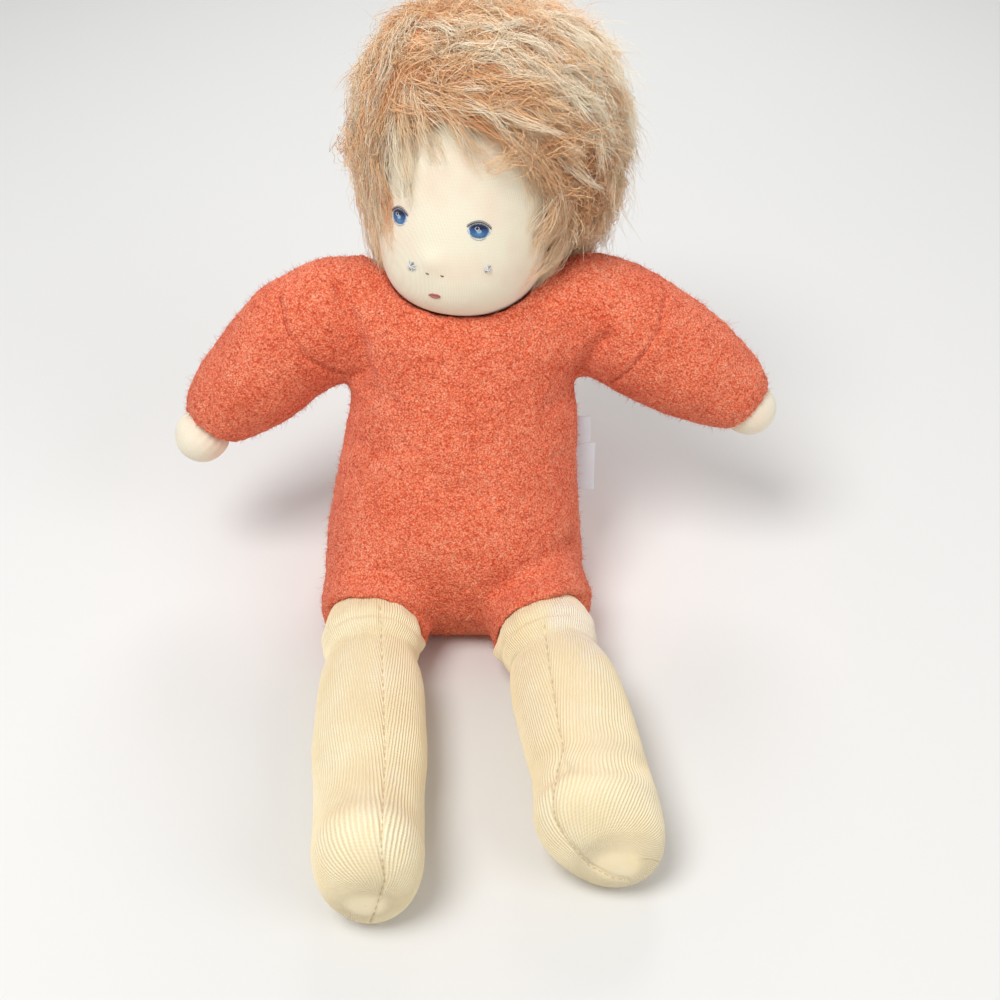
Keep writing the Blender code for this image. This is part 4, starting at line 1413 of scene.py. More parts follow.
    def part(self, name: str, mesh: bpy.types.Mesh) -> bpy.types.Object:
        """Keeps the faces of one part of the cut suit."""
        form = bmesh.new()
        form.from_mesh(mesh)
        centres = np.array([f.calc_center_median() for f in form.faces]) / MM
        right, left = (self.beyond(centres, side) for side in Side)
        keep = {
            "suit_sleeve_right": right,
            "suit_sleeve_left": left,
        }.get(name, ~(right | left))
        form.faces.ensure_lookup_table()
        drop = [form.faces[i] for i in np.nonzero(~keep)[0]]
        bmesh.ops.delete(form, geom=drop, context="FACES")
        form.to_mesh(mesh)
        form.free()
        mesh.name = name
        return link_mesh(name, mesh)

    def fibres(self, whole: bpy.types.Object) -> None:
        """Loose wool fibres that stand off the fleece, split where the sleeves are sewn on."""
        rng = np.random.default_rng(11)
        points, normals = points_of(whole), normals_of(whole)
        picked = rng.choice(len(points), 26000)
        base, normal = points[picked], normals[picked]
        side_way = unit(rng.normal(size=base.shape))
        steps = np.linspace(0, 1, 5)
        length = rng.uniform(0.7, 1.9, len(base)) * (1 + (rng.random(len(base)) > 0.95) * 0.9)
        lift = rng.uniform(0.25, 0.9, len(base))
        direction = unit(normal * lift[:, None] + side_way * 0.8)
        bend = unit(rng.normal(size=base.shape)) * 0.55
        paths = (
            base[:, None]
            + direction[:, None] * (length[:, None] * steps)[:, :, None]
            + bend[:, None] * (length[:, None] * steps**2)[:, :, None]
        )
        paths[:, :, 2] = np.maximum(paths[:, :, 2], 0.1)
        radii = np.broadcast_to(np.linspace(0.07, 0.025, 5), (len(base), 5))
        self.loose = {}
        right, left = (self.beyond(base, side) for side in Side)
        for label, mask in (("torso", ~(right | left)), ("right", right), ("left", left)):
            obj = strands(f"suit_fibres_{label}", paths[mask], radii[mask])
            keep_rest(obj)
            self.loose[label] = obj

    def dress(self, parts: dict) -> None:
        """Finishes the parts and joins the torso and its fibres to the body; the sleeves, their fibres and
        stitches stay where they are, joined to no body.
        """
        torso = parts["suit_torso"]
        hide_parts("body_skin", "body_stuffing")
        for obj in (torso, self.loose["torso"]):
            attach(obj, "body")
        for side in Side:
            sleeve = parts[f"suit_sleeve_{side.word}"]
            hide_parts(f"sleeve_{side.word}", f"arm_stuffing_{side.word}")
            point, normal = self.seam(side)
            for obj in (sleeve, self.loose[side.word], self.sewn[side.word]):
                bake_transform(obj)
        for obj in (*parts.values(), *self.loose.values()):
            self.finish.dress(obj)
        Thread().dress(*self.sewn.values())


@dataclass
class Limb:
    """A stuffed limb measured off its solids: round rows along an axis, closed by a dome."""

    columns: int = 48
    far: float = 70.0

    def rays(self, matrix: Matrix, first: float, last: float, rows: int, dome: int) -> tuple:
        """Centres and directions of the lines that measure a limb.

        Args:
            matrix: the limb's frame.
            first: where the rows start along the axis.
            last: where the dome's centre is along the axis.
            rows: how many rows lie before the dome.
            dome: how many rows the dome has.

        Returns:
            Centres and directions, each rows by columns by 3.
        """
        angles = round_angles(self.columns)[0]
        around = np.stack((np.sin(angles), np.cos(angles), np.zeros_like(angles)), 1)
        heights = np.concatenate((np.linspace(first, last, rows), np.full(dome, last)))
        tilt = np.concatenate((np.zeros(rows), np.linspace(0, np.pi / 2, dome + 1)[1:]))
        centres = np.zeros((rows + dome, self.columns, 3))
        centres[:, :, 2] = heights[:, None]
        ways = around[None] * np.cos(tilt)[:, None, None]
        ways = ways + np.array([0, 0, 1.0]) * np.sin(tilt)[:, None, None]
        flat = moved(centres.reshape(-1, 3), matrix).reshape(centres.shape)
        turn = matrix_array(matrix)[:3, :3]
        return flat, ways @ turn.T

    def measured(self, surface: Surface, centres: np.ndarray, ways: np.ndarray) -> np.ndarray:
        """Distances to the solid's outside, with its facets smoothed away."""
        reach = surface.reach(centres.reshape(-1, 3), ways.reshape(-1, 3), self.far)
        reach = reach.reshape(centres.shape[:2])
        for row in range(len(reach)):
            gaps = np.isnan(reach[row])
            if gaps.all():
                reach[row] = reach[row - 1]
            elif gaps.any():
                reach[row][gaps] = np.nanmean(reach[row])
        for _ in range(3):
            reach = 0.5 * reach + 0.25 * (np.roll(reach, 1, 1) + np.roll(reach, -1, 1))
        inner = reach.copy()
        for _ in range(2):
            inner[1:-1] = 0.5 * inner[1:-1] + 0.25 * (inner[2:] + inner[:-2])
        return inner

    def rounded(self, reach: np.ndarray) -> np.ndarray:
        """Rounds the tip of the dome, whose last rows lie on the solid's flat end."""
        away = np.arange(len(reach))[::-1]
        mean = reach.mean(1)
        tip = 0.6 * mean[-2] + 0.4 * mean[-1]
        even = tip + (mean[-6] - tip) * (away / 5) ** 2
        return reach + ((even - mean) * smooth_step(6, 4, away))[:, None]


def finer(values: np.ndarray, count: int, axis: int, wrap: bool) -> np.ndarray:
    """Resamples rows or columns of a grid on smooth curves.

    Args:
        values: the grid, with any number of values at each point.
        count: how many samples are wanted.
        axis: 0 for rows, 1 for columns.
        wrap: whether that direction closes on itself.

    Returns:
        The finer grid.
    """
    values = np.moveaxis(values, axis, 0)
    size = len(values)
    place = np.arange(count) * (size / count if wrap else (size - 1) / (count - 1))
    low = np.floor(place).astype(int)
    t = (place - low).reshape(-1, *([1] * (values.ndim - 1)))

    def at(index) -> np.ndarray:
        """The row at an index, wrapped or held at the ends."""
        return values[index % size] if wrap else values[np.clip(index, 0, size - 1)]

    curve = smooth_curve(at(low - 1), at(low), at(low + 1), at(low + 2), t)
    return np.moveaxis(curve, 0, axis)


def grid_normals(points: np.ndarray, wrap: bool = True) -> np.ndarray:
    """Outward normals of a round grid of rows by columns."""
    down = np.gradient(points, axis=0)
    if wrap:
        across = np.roll(points, -1, 1) - np.roll(points, 1, 1)
    else:
        across = np.gradient(points, axis=1)
    return unit(np.cross(across, down))


def wale_slant(offset: np.ndarray, length: np.ndarray) -> np.ndarray:
    """How far the wales lean towards the front seam, in wales.

    Args:
        offset: the place round the leg, as a share of the way from the seam.
        length: the place along the leg in millimetres.

    Returns:
        The shift of the wales, opposite on the two sides of the seam.
    """
    reach = 95.0 * (1 - np.exp(-np.clip(length, 0, None) / 95.0))
    return np.sign(offset) * (0.5 - np.abs(offset)) * reach * 0.44


FADED_PATCH = ((562, 614), (585, 622), (600, 640))


def faded_mask(points: np.ndarray) -> np.ndarray:
    """Where the rib knit is worn pale, from 0 to 1."""
    flat = LENS.project(points)
    away = line_distance(flat, FADED_PATCH) + soft_noise(points, 5.0, 81) * 7
    return smooth_step(24, 8, away) * (points[:, 2] > 22)


@dataclass
class Leg:
    """A stuffed rib-knit leg with a sewn front seam."""

    side: Side
    first: float
    last: float
    seam: tuple
    folds: tuple
    wales: int = 116
    fine_columns: int = 720
    fine_rows: int = 190
    rib: float = 0.09
    finish: Finish = TanRib()

    def build(self) -> bpy.types.Object:
        """Measures, folds and ribs the leg, and sews its seam."""
        word = self.side.word
        surface = node_surface(f"leg_skin_{word}")
        matrix = STANCE.leg(self.side)
        limb = Limb()
        centres, ways = limb.rays(matrix, self.first, self.last, 26, 12)
        reach = limb.rounded(limb.measured(surface, centres, ways))
        coarse = centres + ways * reach[:, :, None]
        grid = finer(finer(coarse, self.fine_rows, 0, False), self.fine_columns, 1, True)
        normals = grid_normals(grid)
        normals = outward(normals, grid, grid.mean(1, keepdims=True))
        rows, columns = grid.shape[:2]
        flat, flat_normals = grid.reshape(-1, 3), normals.reshape(-1, 3)
        flat = press_folds(flat, flat_normals, self.folds)
        flat = press_folds(flat, flat_normals, ((self.seam, 2.2, 0.55),))
        lumps = soft_noise(flat, 17.0, 21) * 0.5 + soft_noise(flat, 6.0, 22) * 0.14
        flat = flat + flat_normals * lumps[:, None]
        angle = np.arange(columns) / columns
        length = np.concatenate(([0], np.cumsum(np.linalg.norm(np.diff(grid[:, 0], axis=0), axis=1))))
        centre = self.seam_column(flat, rows, columns)
        self.seam_angle = float(centre[0])
        offset = (angle[None, :] - centre[:, None] + 0.5) % 1 - 0.5
        across = offset * self.wales + wale_slant(offset, length[:, None])
        ribs = np.cos(2 * np.pi * across) * self.rib
        tip = smooth_step(18, 7, rows - 1 - np.arange(rows))[:, None] + 0 * across
        flat = flat + flat_normals * (ribs * (1 - tip)).reshape(-1, 1)
        flat[:, 2] = np.maximum(flat[:, 2], 0)
        chart = np.stack((across, np.broadcast_to(length[:, None] / 1.1, across.shape)), 2)
        spots = quads_of_grid(rows, columns, True)
        tint = faded_mask(flat) - tip.ravel()
        obj = make_mesh(f"leg_cover_{word}", flat, spots, uv=chart.reshape(-1, 2), tint=tint)
        keep_rest(obj)
        turn_outward(obj, np.array(matrix @ Vector((0, 0, (self.first + self.last) / 2))))
        return obj

    def seam_column(self, flat: np.ndarray, rows: int, columns: int) -> np.ndarray:
        """Where the seam crosses each row, as a share of the way round."""
        view = LENS.project(flat).reshape(rows, columns, 2)
        facing = self.toward(flat).reshape(rows, columns)
        out = np.zeros(rows)
        for row in range(rows):
            gap = line_distance(view[row], self.seam) + np.where(facing[row] > 0, 0, 1e3)
            out[row] = np.argmin(gap) / columns
        angles = np.unwrap(out * 2 * np.pi)
        kernel = np.ones(15) / 15
        padded = np.pad(angles, 7, mode="edge")
        return np.convolve(padded, kernel, "valid") / (2 * np.pi)

    def toward(self, flat: np.ndarray) -> np.ndarray:
        """Positive on the half of the leg that the camera sees."""
        matrix = STANCE.leg(self.side)
        along = local(flat, matrix)[:, 2]
        spine = moved(np.column_stack((0 * along, 0 * along, along)), matrix)
        rays = np.array(LENS.place) - spine
        return np.einsum("ij,ij->i", flat - spine, rays)

    def dress(self, obj: bpy.types.Object) -> None:
        """Finishes the leg."""
        word = self.side.word
        self.finish.dress(obj)
        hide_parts(f"leg_skin_{word}", f"leg_stuffing_{word}")
        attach(obj, f"leg_{word}")


@dataclass
class HipBand:
    """The flat rib band that lets a leg swing, folded where it leaves the suit."""

    side: Side
    seam_angle: float
    seam: tuple
    ear: float
    wales: int = 116
    finish: Finish = TanRib()

    ball: float = 17.7

    PROFILE = ((0, 17.7), (6, 18.3), (12, 18.8), (22, 19.2))

    def build(self, leg: bpy.types.Object) -> bpy.types.Object:
        """A rib tube round the hip, gathered to a ball end in the suit, with a fold and a folded corner.

        Args:
            leg: the leg's cover, which the band's end lies on.

        Returns:
            The band.
        """
        columns = 720
        behind = -self.ball * np.cos(np.linspace(0.02, np.pi / 2, 26))
        along = np.concatenate((behind, np.linspace(0.6, self.PROFILE[-1][0], 44)))[:, None]
        rows = len(along)
        angle = round_angles(columns)
        round_end = np.sqrt(np.maximum(self.ball**2 - along**2, 0))
        radius = np.where(along < 0, round_end, np.interp(along, *zip(*self.PROFILE))) + 0 * angle
        matrix = STANCE.leg(self.side)
        surface = Surface(leg)
        heights = np.repeat(np.maximum(along[:, 0], 11.5), columns)
        start = moved(np.column_stack((0 * heights, 0 * heights, heights)), matrix)
        ways = np.column_stack((np.sin(angle[0]), np.cos(angle[0]), np.zeros(columns)))
        ways = np.tile(ways @ matrix_array(matrix)[:3, :3].T, (rows, 1))
        reach = surface.reach(start, ways, 60.0).reshape(rows, columns)
        reach = np.where(np.isnan(reach), self.PROFILE[-1][1], reach)
        near = smooth_step(6, 14, along)
        lift = 0.16 - 0.5 * smooth_step(12, 22, along)
        radius = radius * (1 - near) + (reach + lift) * near
        fold = np.exp(-(((along - 6.5) / 1.2) ** 2))
        radius = radius - 0.9 * fold + 0.5 * np.exp(-(((along - 2.5) / 2.6) ** 2))
        inner = self.inner_angle()
        off = (angle - inner + np.pi) % (2 * np.pi) - np.pi
        corner = np.exp(-((off / 0.15) ** 2)) * np.exp(-(((along - 1.5) / 3.2) ** 2))
        radius = radius + self.ear * corner
        pleat = np.sin(11 * angle + 0.8 * np.sin(2 * angle)) * np.exp(-(((along - 1) / 6) ** 2))
        radius = radius + 0.25 * pleat
        offset = (angle / (2 * np.pi) - self.seam_angle + 0.5) % 1 - 0.5
        across = offset * self.wales + wale_slant(offset, along - 9.0)
        radius = radius + np.cos(2 * np.pi * across) * 0.09 * smooth_step(2, 15, radius)
        points = np.stack((radius * np.sin(angle), radius * np.cos(angle), along + 0 * angle), 2)
        chart = np.stack((across + 0 * along, along / 1.1 + 0 * angle), 2)
        flat = moved(points.reshape(-1, 3), matrix)
        normals = grid_normals(flat.reshape(rows, columns, 3)).reshape(-1, 3)
        middle = np.array(matrix @ Vector((0, 0, 8)))
        normals = outward(normals, flat, middle)
        flat = press_folds(flat, normals, ((self.seam, 2.2, 0.55),))
        flat[:, 2] = np.maximum(flat[:, 2], 0.2)
        obj = make_mesh(
            f"hip_band_{self.side.word}",
            flat,
            quads_of_grid(rows, columns, True),
            uv=chart.reshape(-1, 2),
            tint=faded_mask(flat),
        )
        turn_outward(obj, middle)
        keep_rest(obj)
        return obj

    def inner_angle(self) -> float:
        """The direction of the doll's middle, round the leg, a little below the side."""
        way = STANCE.leg(self.side).to_3x3().inverted() @ Vector((-self.side.value, 0, -0.25))
        return math.atan2(way.x, way.y)

    def stitches(self, band: bpy.types.Object, leg: bpy.types.Object) -> list:
        """Short stitches along the front seam, on the band and on the leg."""
        made = []
        rows = stitch_paths([Surface(band), Surface(leg)], self.seam, 7.0, 4.6)
        for label, paths in zip(("band", "leg"), rows):
            made.append(stitch_rows(f"{label}_seam_{self.side.word}", paths, (236, 210, 164)))
        return made

    def dress(self, obj: bpy.types.Object, stitches: list) -> None:
        """Finishes the band and its stitches; the band and its own stitches stay where they are, and the
        stitches on the leg ride on the leg.
        """
        word = self.side.word
        self.finish.dress(obj)
        Thread().dress(*stitches)
        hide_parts(f"hip_flange_{word}")
        for piece in (obj, stitches[0]):
            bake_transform(piece)
        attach(stitches[1], f"leg_{word}")


@dataclass
class Hand:
    """A hand tied off as a ball of jersey, with gathers at the wrist."""

    side: Side
    first: float
    last: float
    gathers: int = 17
    finish: Finish = CreamJersey()

    def build(self) -> bpy.types.Object:
        """Measures the ball and gathers it at the wrist."""
        word = self.side.word
        surface = node_surface(f"hand_skin_{word}")
        limb = Limb(columns=48, far=40.0)
        centres, ways = limb.rays(STANCE.arm(self.side), self.first, self.last, 14, 14)
        reach = limb.measured(surface, centres, ways)
        coarse = centres + ways * reach[:, :, None]
        grid = finer(finer(coarse, 90, 0, False), 192, 1, True)
        rows, columns = grid.shape[:2]
        angle = round_angles(columns)
        fade = np.exp(-np.arange(rows) / 13.0)[:, None]
        crumple = np.sin(self.gathers * angle + np.sin(2 * angle)) * fade * 0.7
        normals = grid_normals(grid)
        middle = grid[-1].mean(0) * 0.5 + grid[0].mean(0) * 0.5
        normals = outward(normals, grid, middle)
        grid = grid + normals * crumple[:, :, None]
        flat = grid.reshape(-1, 3)
        flat = flat + normals.reshape(-1, 3) * (soft_noise(flat, 7.0, 31) * 0.22)[:, None]
        obj = make_mesh(f"hand_ball_{word}", flat, quads_of_grid(rows, columns, True))
        turn_outward(obj, middle)
        keep_rest(obj)
        return obj

    def dress(self, obj: bpy.types.Object) -> None:
        """Finishes the hand; it rides on the arm."""
        word = self.side.word
        self.finish.dress(obj)
        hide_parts(f"hand_skin_{word}", f"hand_stuffing_{word}", f"wrist_tie_{word}")
        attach(obj, f"arm_{word}")


@dataclass
class Head:
    """The head of cream jersey over a firm wool ball, with the neck roll under it."""

    columns: int = 96
    finish: Finish = CreamJersey()
    nose: tuple = (430, 262)
    chin_drop: float = 2.4

    def build(self) -> bpy.types.Object:
        """Measures the head from its middle and smooths it."""
        surface = node_surface("head_skin")
        matrix = STANCE.head()
        centre = np.array(matrix @ Vector((0, 0, 56)))
        rows = 72
        polar = np.linspace(0.02, np.pi - 0.3, rows)[:, None]
        angle = round_angles(self.columns)
        ways = np.stack(
            (
                np.sin(polar) * np.sin(angle),
                -np.sin(polar) * np.cos(angle),
                np.cos(polar) + 0 * angle,
            ),
            2,
        )
        ways = ways @ matrix_array(matrix)[:3, :3].T
        centres = np.broadcast_to(centre, ways.shape)
        reach = Limb(columns=self.columns, far=90).measured(surface, centres, ways)
        grid = centre + ways * reach[:, :, None]
        grid = finer(finer(grid, 200, 0, False), 288, 1, True)
        rows, columns = grid.shape[:2]
        flat = grid.reshape(-1, 3)
        obj = make_mesh("head_cover", flat, quads_of_grid(rows, columns, True))
        turn_outward(obj, centre)
        normals = normals_of(obj)
        face = np.exp(-((line_distance(LENS.project(flat), (self.nose, (432, 263))) / 11) ** 2))
        face = face * LENS.facing(flat, normals)
        flat = flat + normals * (face * 1.2 + soft_noise(flat, 15.0, 41) * 0.12)[:, None]
        inner = local(flat, matrix)
        inner[:, 2] -= self.chin_drop * smooth_step(34, 8, inner[:, 2])
        set_points(obj, moved(inner, matrix))
        keep_rest(obj)
        return obj

    def dress(self, obj: bpy.types.Object) -> None:
        """Finishes the head."""
        self.finish.dress(obj)
        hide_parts("head_skin", "inner_head", "eye_line_tie", "crown_tie")
        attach(obj, "head")


@dataclass
class NeckRoll:
    """The gauze roll that carries the head, with its tie."""

    radius: float = 9.0
    low: float = -10.0
    high: float = 22.0
    finish: Finish = CreamJersey(label="neck_cloth", loop=1.1)

    def build(self) -> bpy.types.Object:
        """A wrapped roll with a tied waist."""
        rows, columns = 60, 96
        height = np.linspace(self.low, self.high, rows)[:, None]
        angle = round_angles(columns)
        waist = 1.1 * np.exp(-(((height - 9.4) / 1.4) ** 2))
        share = np.abs(2 * (height - self.low) / (self.high - self.low) - 1)
        ends = np.sqrt(np.clip(1 - share**8, 0.002, 1))
        radius = (self.radius - waist + 0.25 * np.sin(7 * angle + height * 0.5)) * ends
        points = np.stack((radius * np.cos(angle), radius * np.sin(angle), height + 0 * angle), 2)
        flat = moved(points.reshape(-1, 3), STANCE.neck())
        obj = make_mesh("neck_wrap", flat, quads_of_grid(rows, columns, True))
        keep_rest(obj)
        return obj

    def dress(self, obj: bpy.types.Object) -> None:
        """Finishes the roll; it nods with the neck."""
        self.finish.dress(obj)
        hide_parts("neck_roll", "neck_tie")
        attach(obj, "neck")


@dataclass
class Patch:
    """A small flat drawing plane that lies on the head, for stitches."""

    surface: Surface
    yaw: float
    height: float

    def __post_init__(self) -> None:
        """Finds the point and directions of the plane."""
        matrix = STANCE.head()
        turn = math.radians(self.yaw)
        way = matrix.to_3x3() @ Vector((math.sin(turn), -math.cos(turn), 0))
        middle = matrix @ Vector((0, 0, self.height))
        hit, normal = self.surface.cast(middle + way * 90, -way)
        up = matrix.to_3x3() @ Vector((0, 0, 1))
        self.origin, self.normal = hit, normal
        self.up = (up - normal * up.dot(normal)).normalized()
        self.right = self.up.cross(normal).normalized()

    def line(self, points, lift: float) -> np.ndarray:
        """Points of the plane laid on the surface.

        Args:
            points: (right, up) in millimetres.
            lift: how far above the surface they lie.

        Returns:
            N by 3.
        """
        out = []
        for right, up in points:
            start = self.origin + self.right * right + self.up * up + self.normal * 8
            hit, normal = self.surface.cast(start, -self.normal)
            if hit is None:
                hit, normal = self.surface.nearest(start)
            out.append(np.array(hit + normal * lift))
        return np.array(out)


class Sampler:
    """Gathers stitches of one piece of embroidery and makes them one object."""

    def __init__(self, patch: Patch) -> None:
        """Works on one patch."""
        self.patch = patch
        self.paths, self.radii, self.tints = [], [], []

    def stitch(
        self, start, end, colour: tuple, radius: float = 0.16, lift: float = 0.12, bow: float = 0.1
    ) -> None:
        """One straight stitch that dives into the cloth at both ends."""
        steps = np.linspace(0, 1, 7)
        flat = [(start[0] + (end[0] - start[0]) * t, start[1] + (end[1] - start[1]) * t) for t in steps]
        path = self.patch.line(flat, 0.0)
        arch = np.sin(steps * np.pi) ** 0.5 * (lift + bow) - 0.12
        path = path + np.array(self.patch.normal) * arch[:, None]
        self.paths.append(path)
        self.radii.append(radius * (0.55 + 0.45 * np.sin(steps * np.pi) ** 0.4))
        self.tints.append(linear(colour))

    def curve(self, points, colour: tuple, radius: float = 0.16, lift: float = 0.15) -> None:
        """A run of small stitches along a curve of the patch."""
        points = np.array(points, float)
        for a, b in zip(points[:-1], points[1:]):
            reach = (b - a) * 0.12
            self.stitch(a - reach, b + reach, colour, radius, lift, 0.06)

    def make(self, name: str) -> bpy.types.Object:
        """The stitches as one object."""
        return strands(
            name, np.array(self.paths), np.array(self.radii), np.array(self.tints), sides=6
        )


@dataclass
class Face:
    """Embroidered eyes, mouth and nostrils, and the white knots on the cheeks."""

    eye_yaw: float = 23.5
    eye_height: float = 42.6
    eye_half: tuple = (3.9, 3.2)
    knots: tuple = ((-12.5, 26.8, 2.3), (31.0, 29.8, 1.7))

    def eye(self, surface: Surface, side: Side) -> bpy.types.Object:
        """One eye: white ground, blue rays, dark upper half, lid lines and a ring of light."""
        patch = Patch(surface, side.value * self.eye_yaw, self.eye_height)
        work = Sampler(patch)
        wide, tall = self.eye_half
        for x in np.arange(-wide, wide + 0.01, 0.3):
            reach = tall * math.sqrt(max(0.0, 1 - (x / (wide * 1.03)) ** 2))
            tone = (214, 226, 236) if abs(x) > wide * 0.7 else (176, 200, 224)
            work.stitch((x, -reach * 0.8), (x, reach * 0.7), tone, 0.19, 0.05)
        iris = tall * 1.08
        for turn in np.arange(0, 360, 7.5):
            a = math.radians(turn)
            down = 0.5 - 0.5 * math.sin(a)
            blue = (
                int(20 + 62 * down),
                int(56 + 82 * down),
                int(112 + 76 * down),
            )
            far = iris * (1.0 if turn < 180 else 0.92)
            work.stitch(
                (math.cos(a) * 0.5, math.sin(a) * 0.4),
                (math.cos(a) * far * 1.12, math.sin(a) * far * 0.8),
                blue,
                0.17,
                0.22,
            )
        for x in np.arange(-2.4, 2.5, 0.3):
            top = 2.5 * math.sqrt(max(0.0, 1 - (x / 3.0) ** 2))
            work.stitch((x, 0.5 + abs(x) * 0.2), (x, top), (20, 34, 70), 0.17, 0.34)
        turns = np.linspace(0, 2 * math.pi, 9)
        ring = [(-0.75 + 0.75 * math.cos(a), 0.95 + 0.62 * math.sin(a)) for a in turns]
        work.curve(ring, (232, 238, 246), 0.13, 0.46)
        work.stitch((-1.0, 0.95), (-0.5, 0.95), (20, 26, 44), 0.2, 0.42)
        lid = np.linspace(-1.0, 1.0, 11)
        upper = [(t * wide * 1.08, tall * (0.98 - 0.62 * t * t)) for t in lid]
        work.curve(upper, (58, 66, 88), 0.19, 0.34)
        work.curve([(x * 1.02, y + 0.55) for x, y in upper], (150, 152, 158), 0.12, 0.24)
        lower = [(t * wide * 0.7, -tall * (0.95 - 0.35 * t * t)) for t in lid[::2]]
        work.curve(lower, (172, 186, 202), 0.12, 0.2)
        return work.make(f"eye_stitches_{side.word}")

    def mouth(self, surface: Surface) -> bpy.types.Object:
        """Two lips of satin stitch."""
        patch = Patch(surface, 2.0, 17.6)
        work = Sampler(patch)
        for x in np.arange(-2.2, 2.21, 0.34):
            t = x / 2.35
            top = 1.0 * (1 - t * t) * (0.75 + 0.35 * min(1.0, abs(t) * 3))
            low = 1.15 * (1 - t * t)
            tone = (220, 134, 124) if int(x / 0.34) % 2 else (208, 118, 112)
            work.stitch((x, 0.04), (x, top), tone, 0.2, 0.2)
            work.stitch((x, -low), (x, -0.04), (226, 146, 134), 0.2, 0.22)
        return work.make("mouth_stitches")

    def nostril(self, surface: Surface, side: Side) -> bpy.types.Object:
        """One nostril stitch."""
        patch = Patch(surface, 2.0 + side.value * 4.2, 25.6)
        work = Sampler(patch)
        work.stitch((-0.7, 0.1), (0.7, -0.1), (128, 84, 62), 0.17, 0.12)
        work.stitch((-0.5, -0.18), (0.6, -0.28), (150, 104, 80), 0.13, 0.1)
        return work.make(f"nostril_stitches_{side.word}")

    def knot(self, surface: Surface, side: Side) -> bpy.types.Object:
        """A white knot of crossed stitches with a few grey ones."""
        yaw, height, size = self.knots[side is Side.LEFT]
        patch = Patch(surface, yaw, height)
        work = Sampler(patch)
        rng = np.random.default_rng(5 + side.value)
        for index in range(15):
            turn = index * 2.4
            a = np.array((math.cos(turn), math.sin(turn))) * size * rng.uniform(0.7, 1.05)
            b = -a * rng.uniform(0.3, 0.8) + rng.normal(size=2) * 0.3
            tone = (168, 172, 178) if index % 4 == 3 else (240, 240, 236)
            work.stitch(a, b, tone, 0.2, 0.12 + index * 0.05, 0.2)
        return work.make(f"cheek_stitches_{side.word}")

    def build(self, head: bpy.types.Object) -> dict:
        """Every piece of embroidery with its node and slot."""
        surface = Surface(head)
        made = {}
        for side in Side:
            made[self.eye(surface, side)] = (f"eye_{side.word}", "blue_thread")
            made[self.nostril(surface, side)] = (f"nostril_{side.word}", "brown_thread")
            made[self.knot(surface, side)] = (f"cheek_knot_{side.word}", "white_thread")
        made[self.mouth(surface)] = ("mouth", "rose_thread")
        return made

    def dress(self, made: dict) -> None:
        """Finishes the embroidery; it rides on the head."""
        for obj, (node, slot) in made.items():
            Thread().dress(obj)
            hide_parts(node)
            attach(obj, "head")


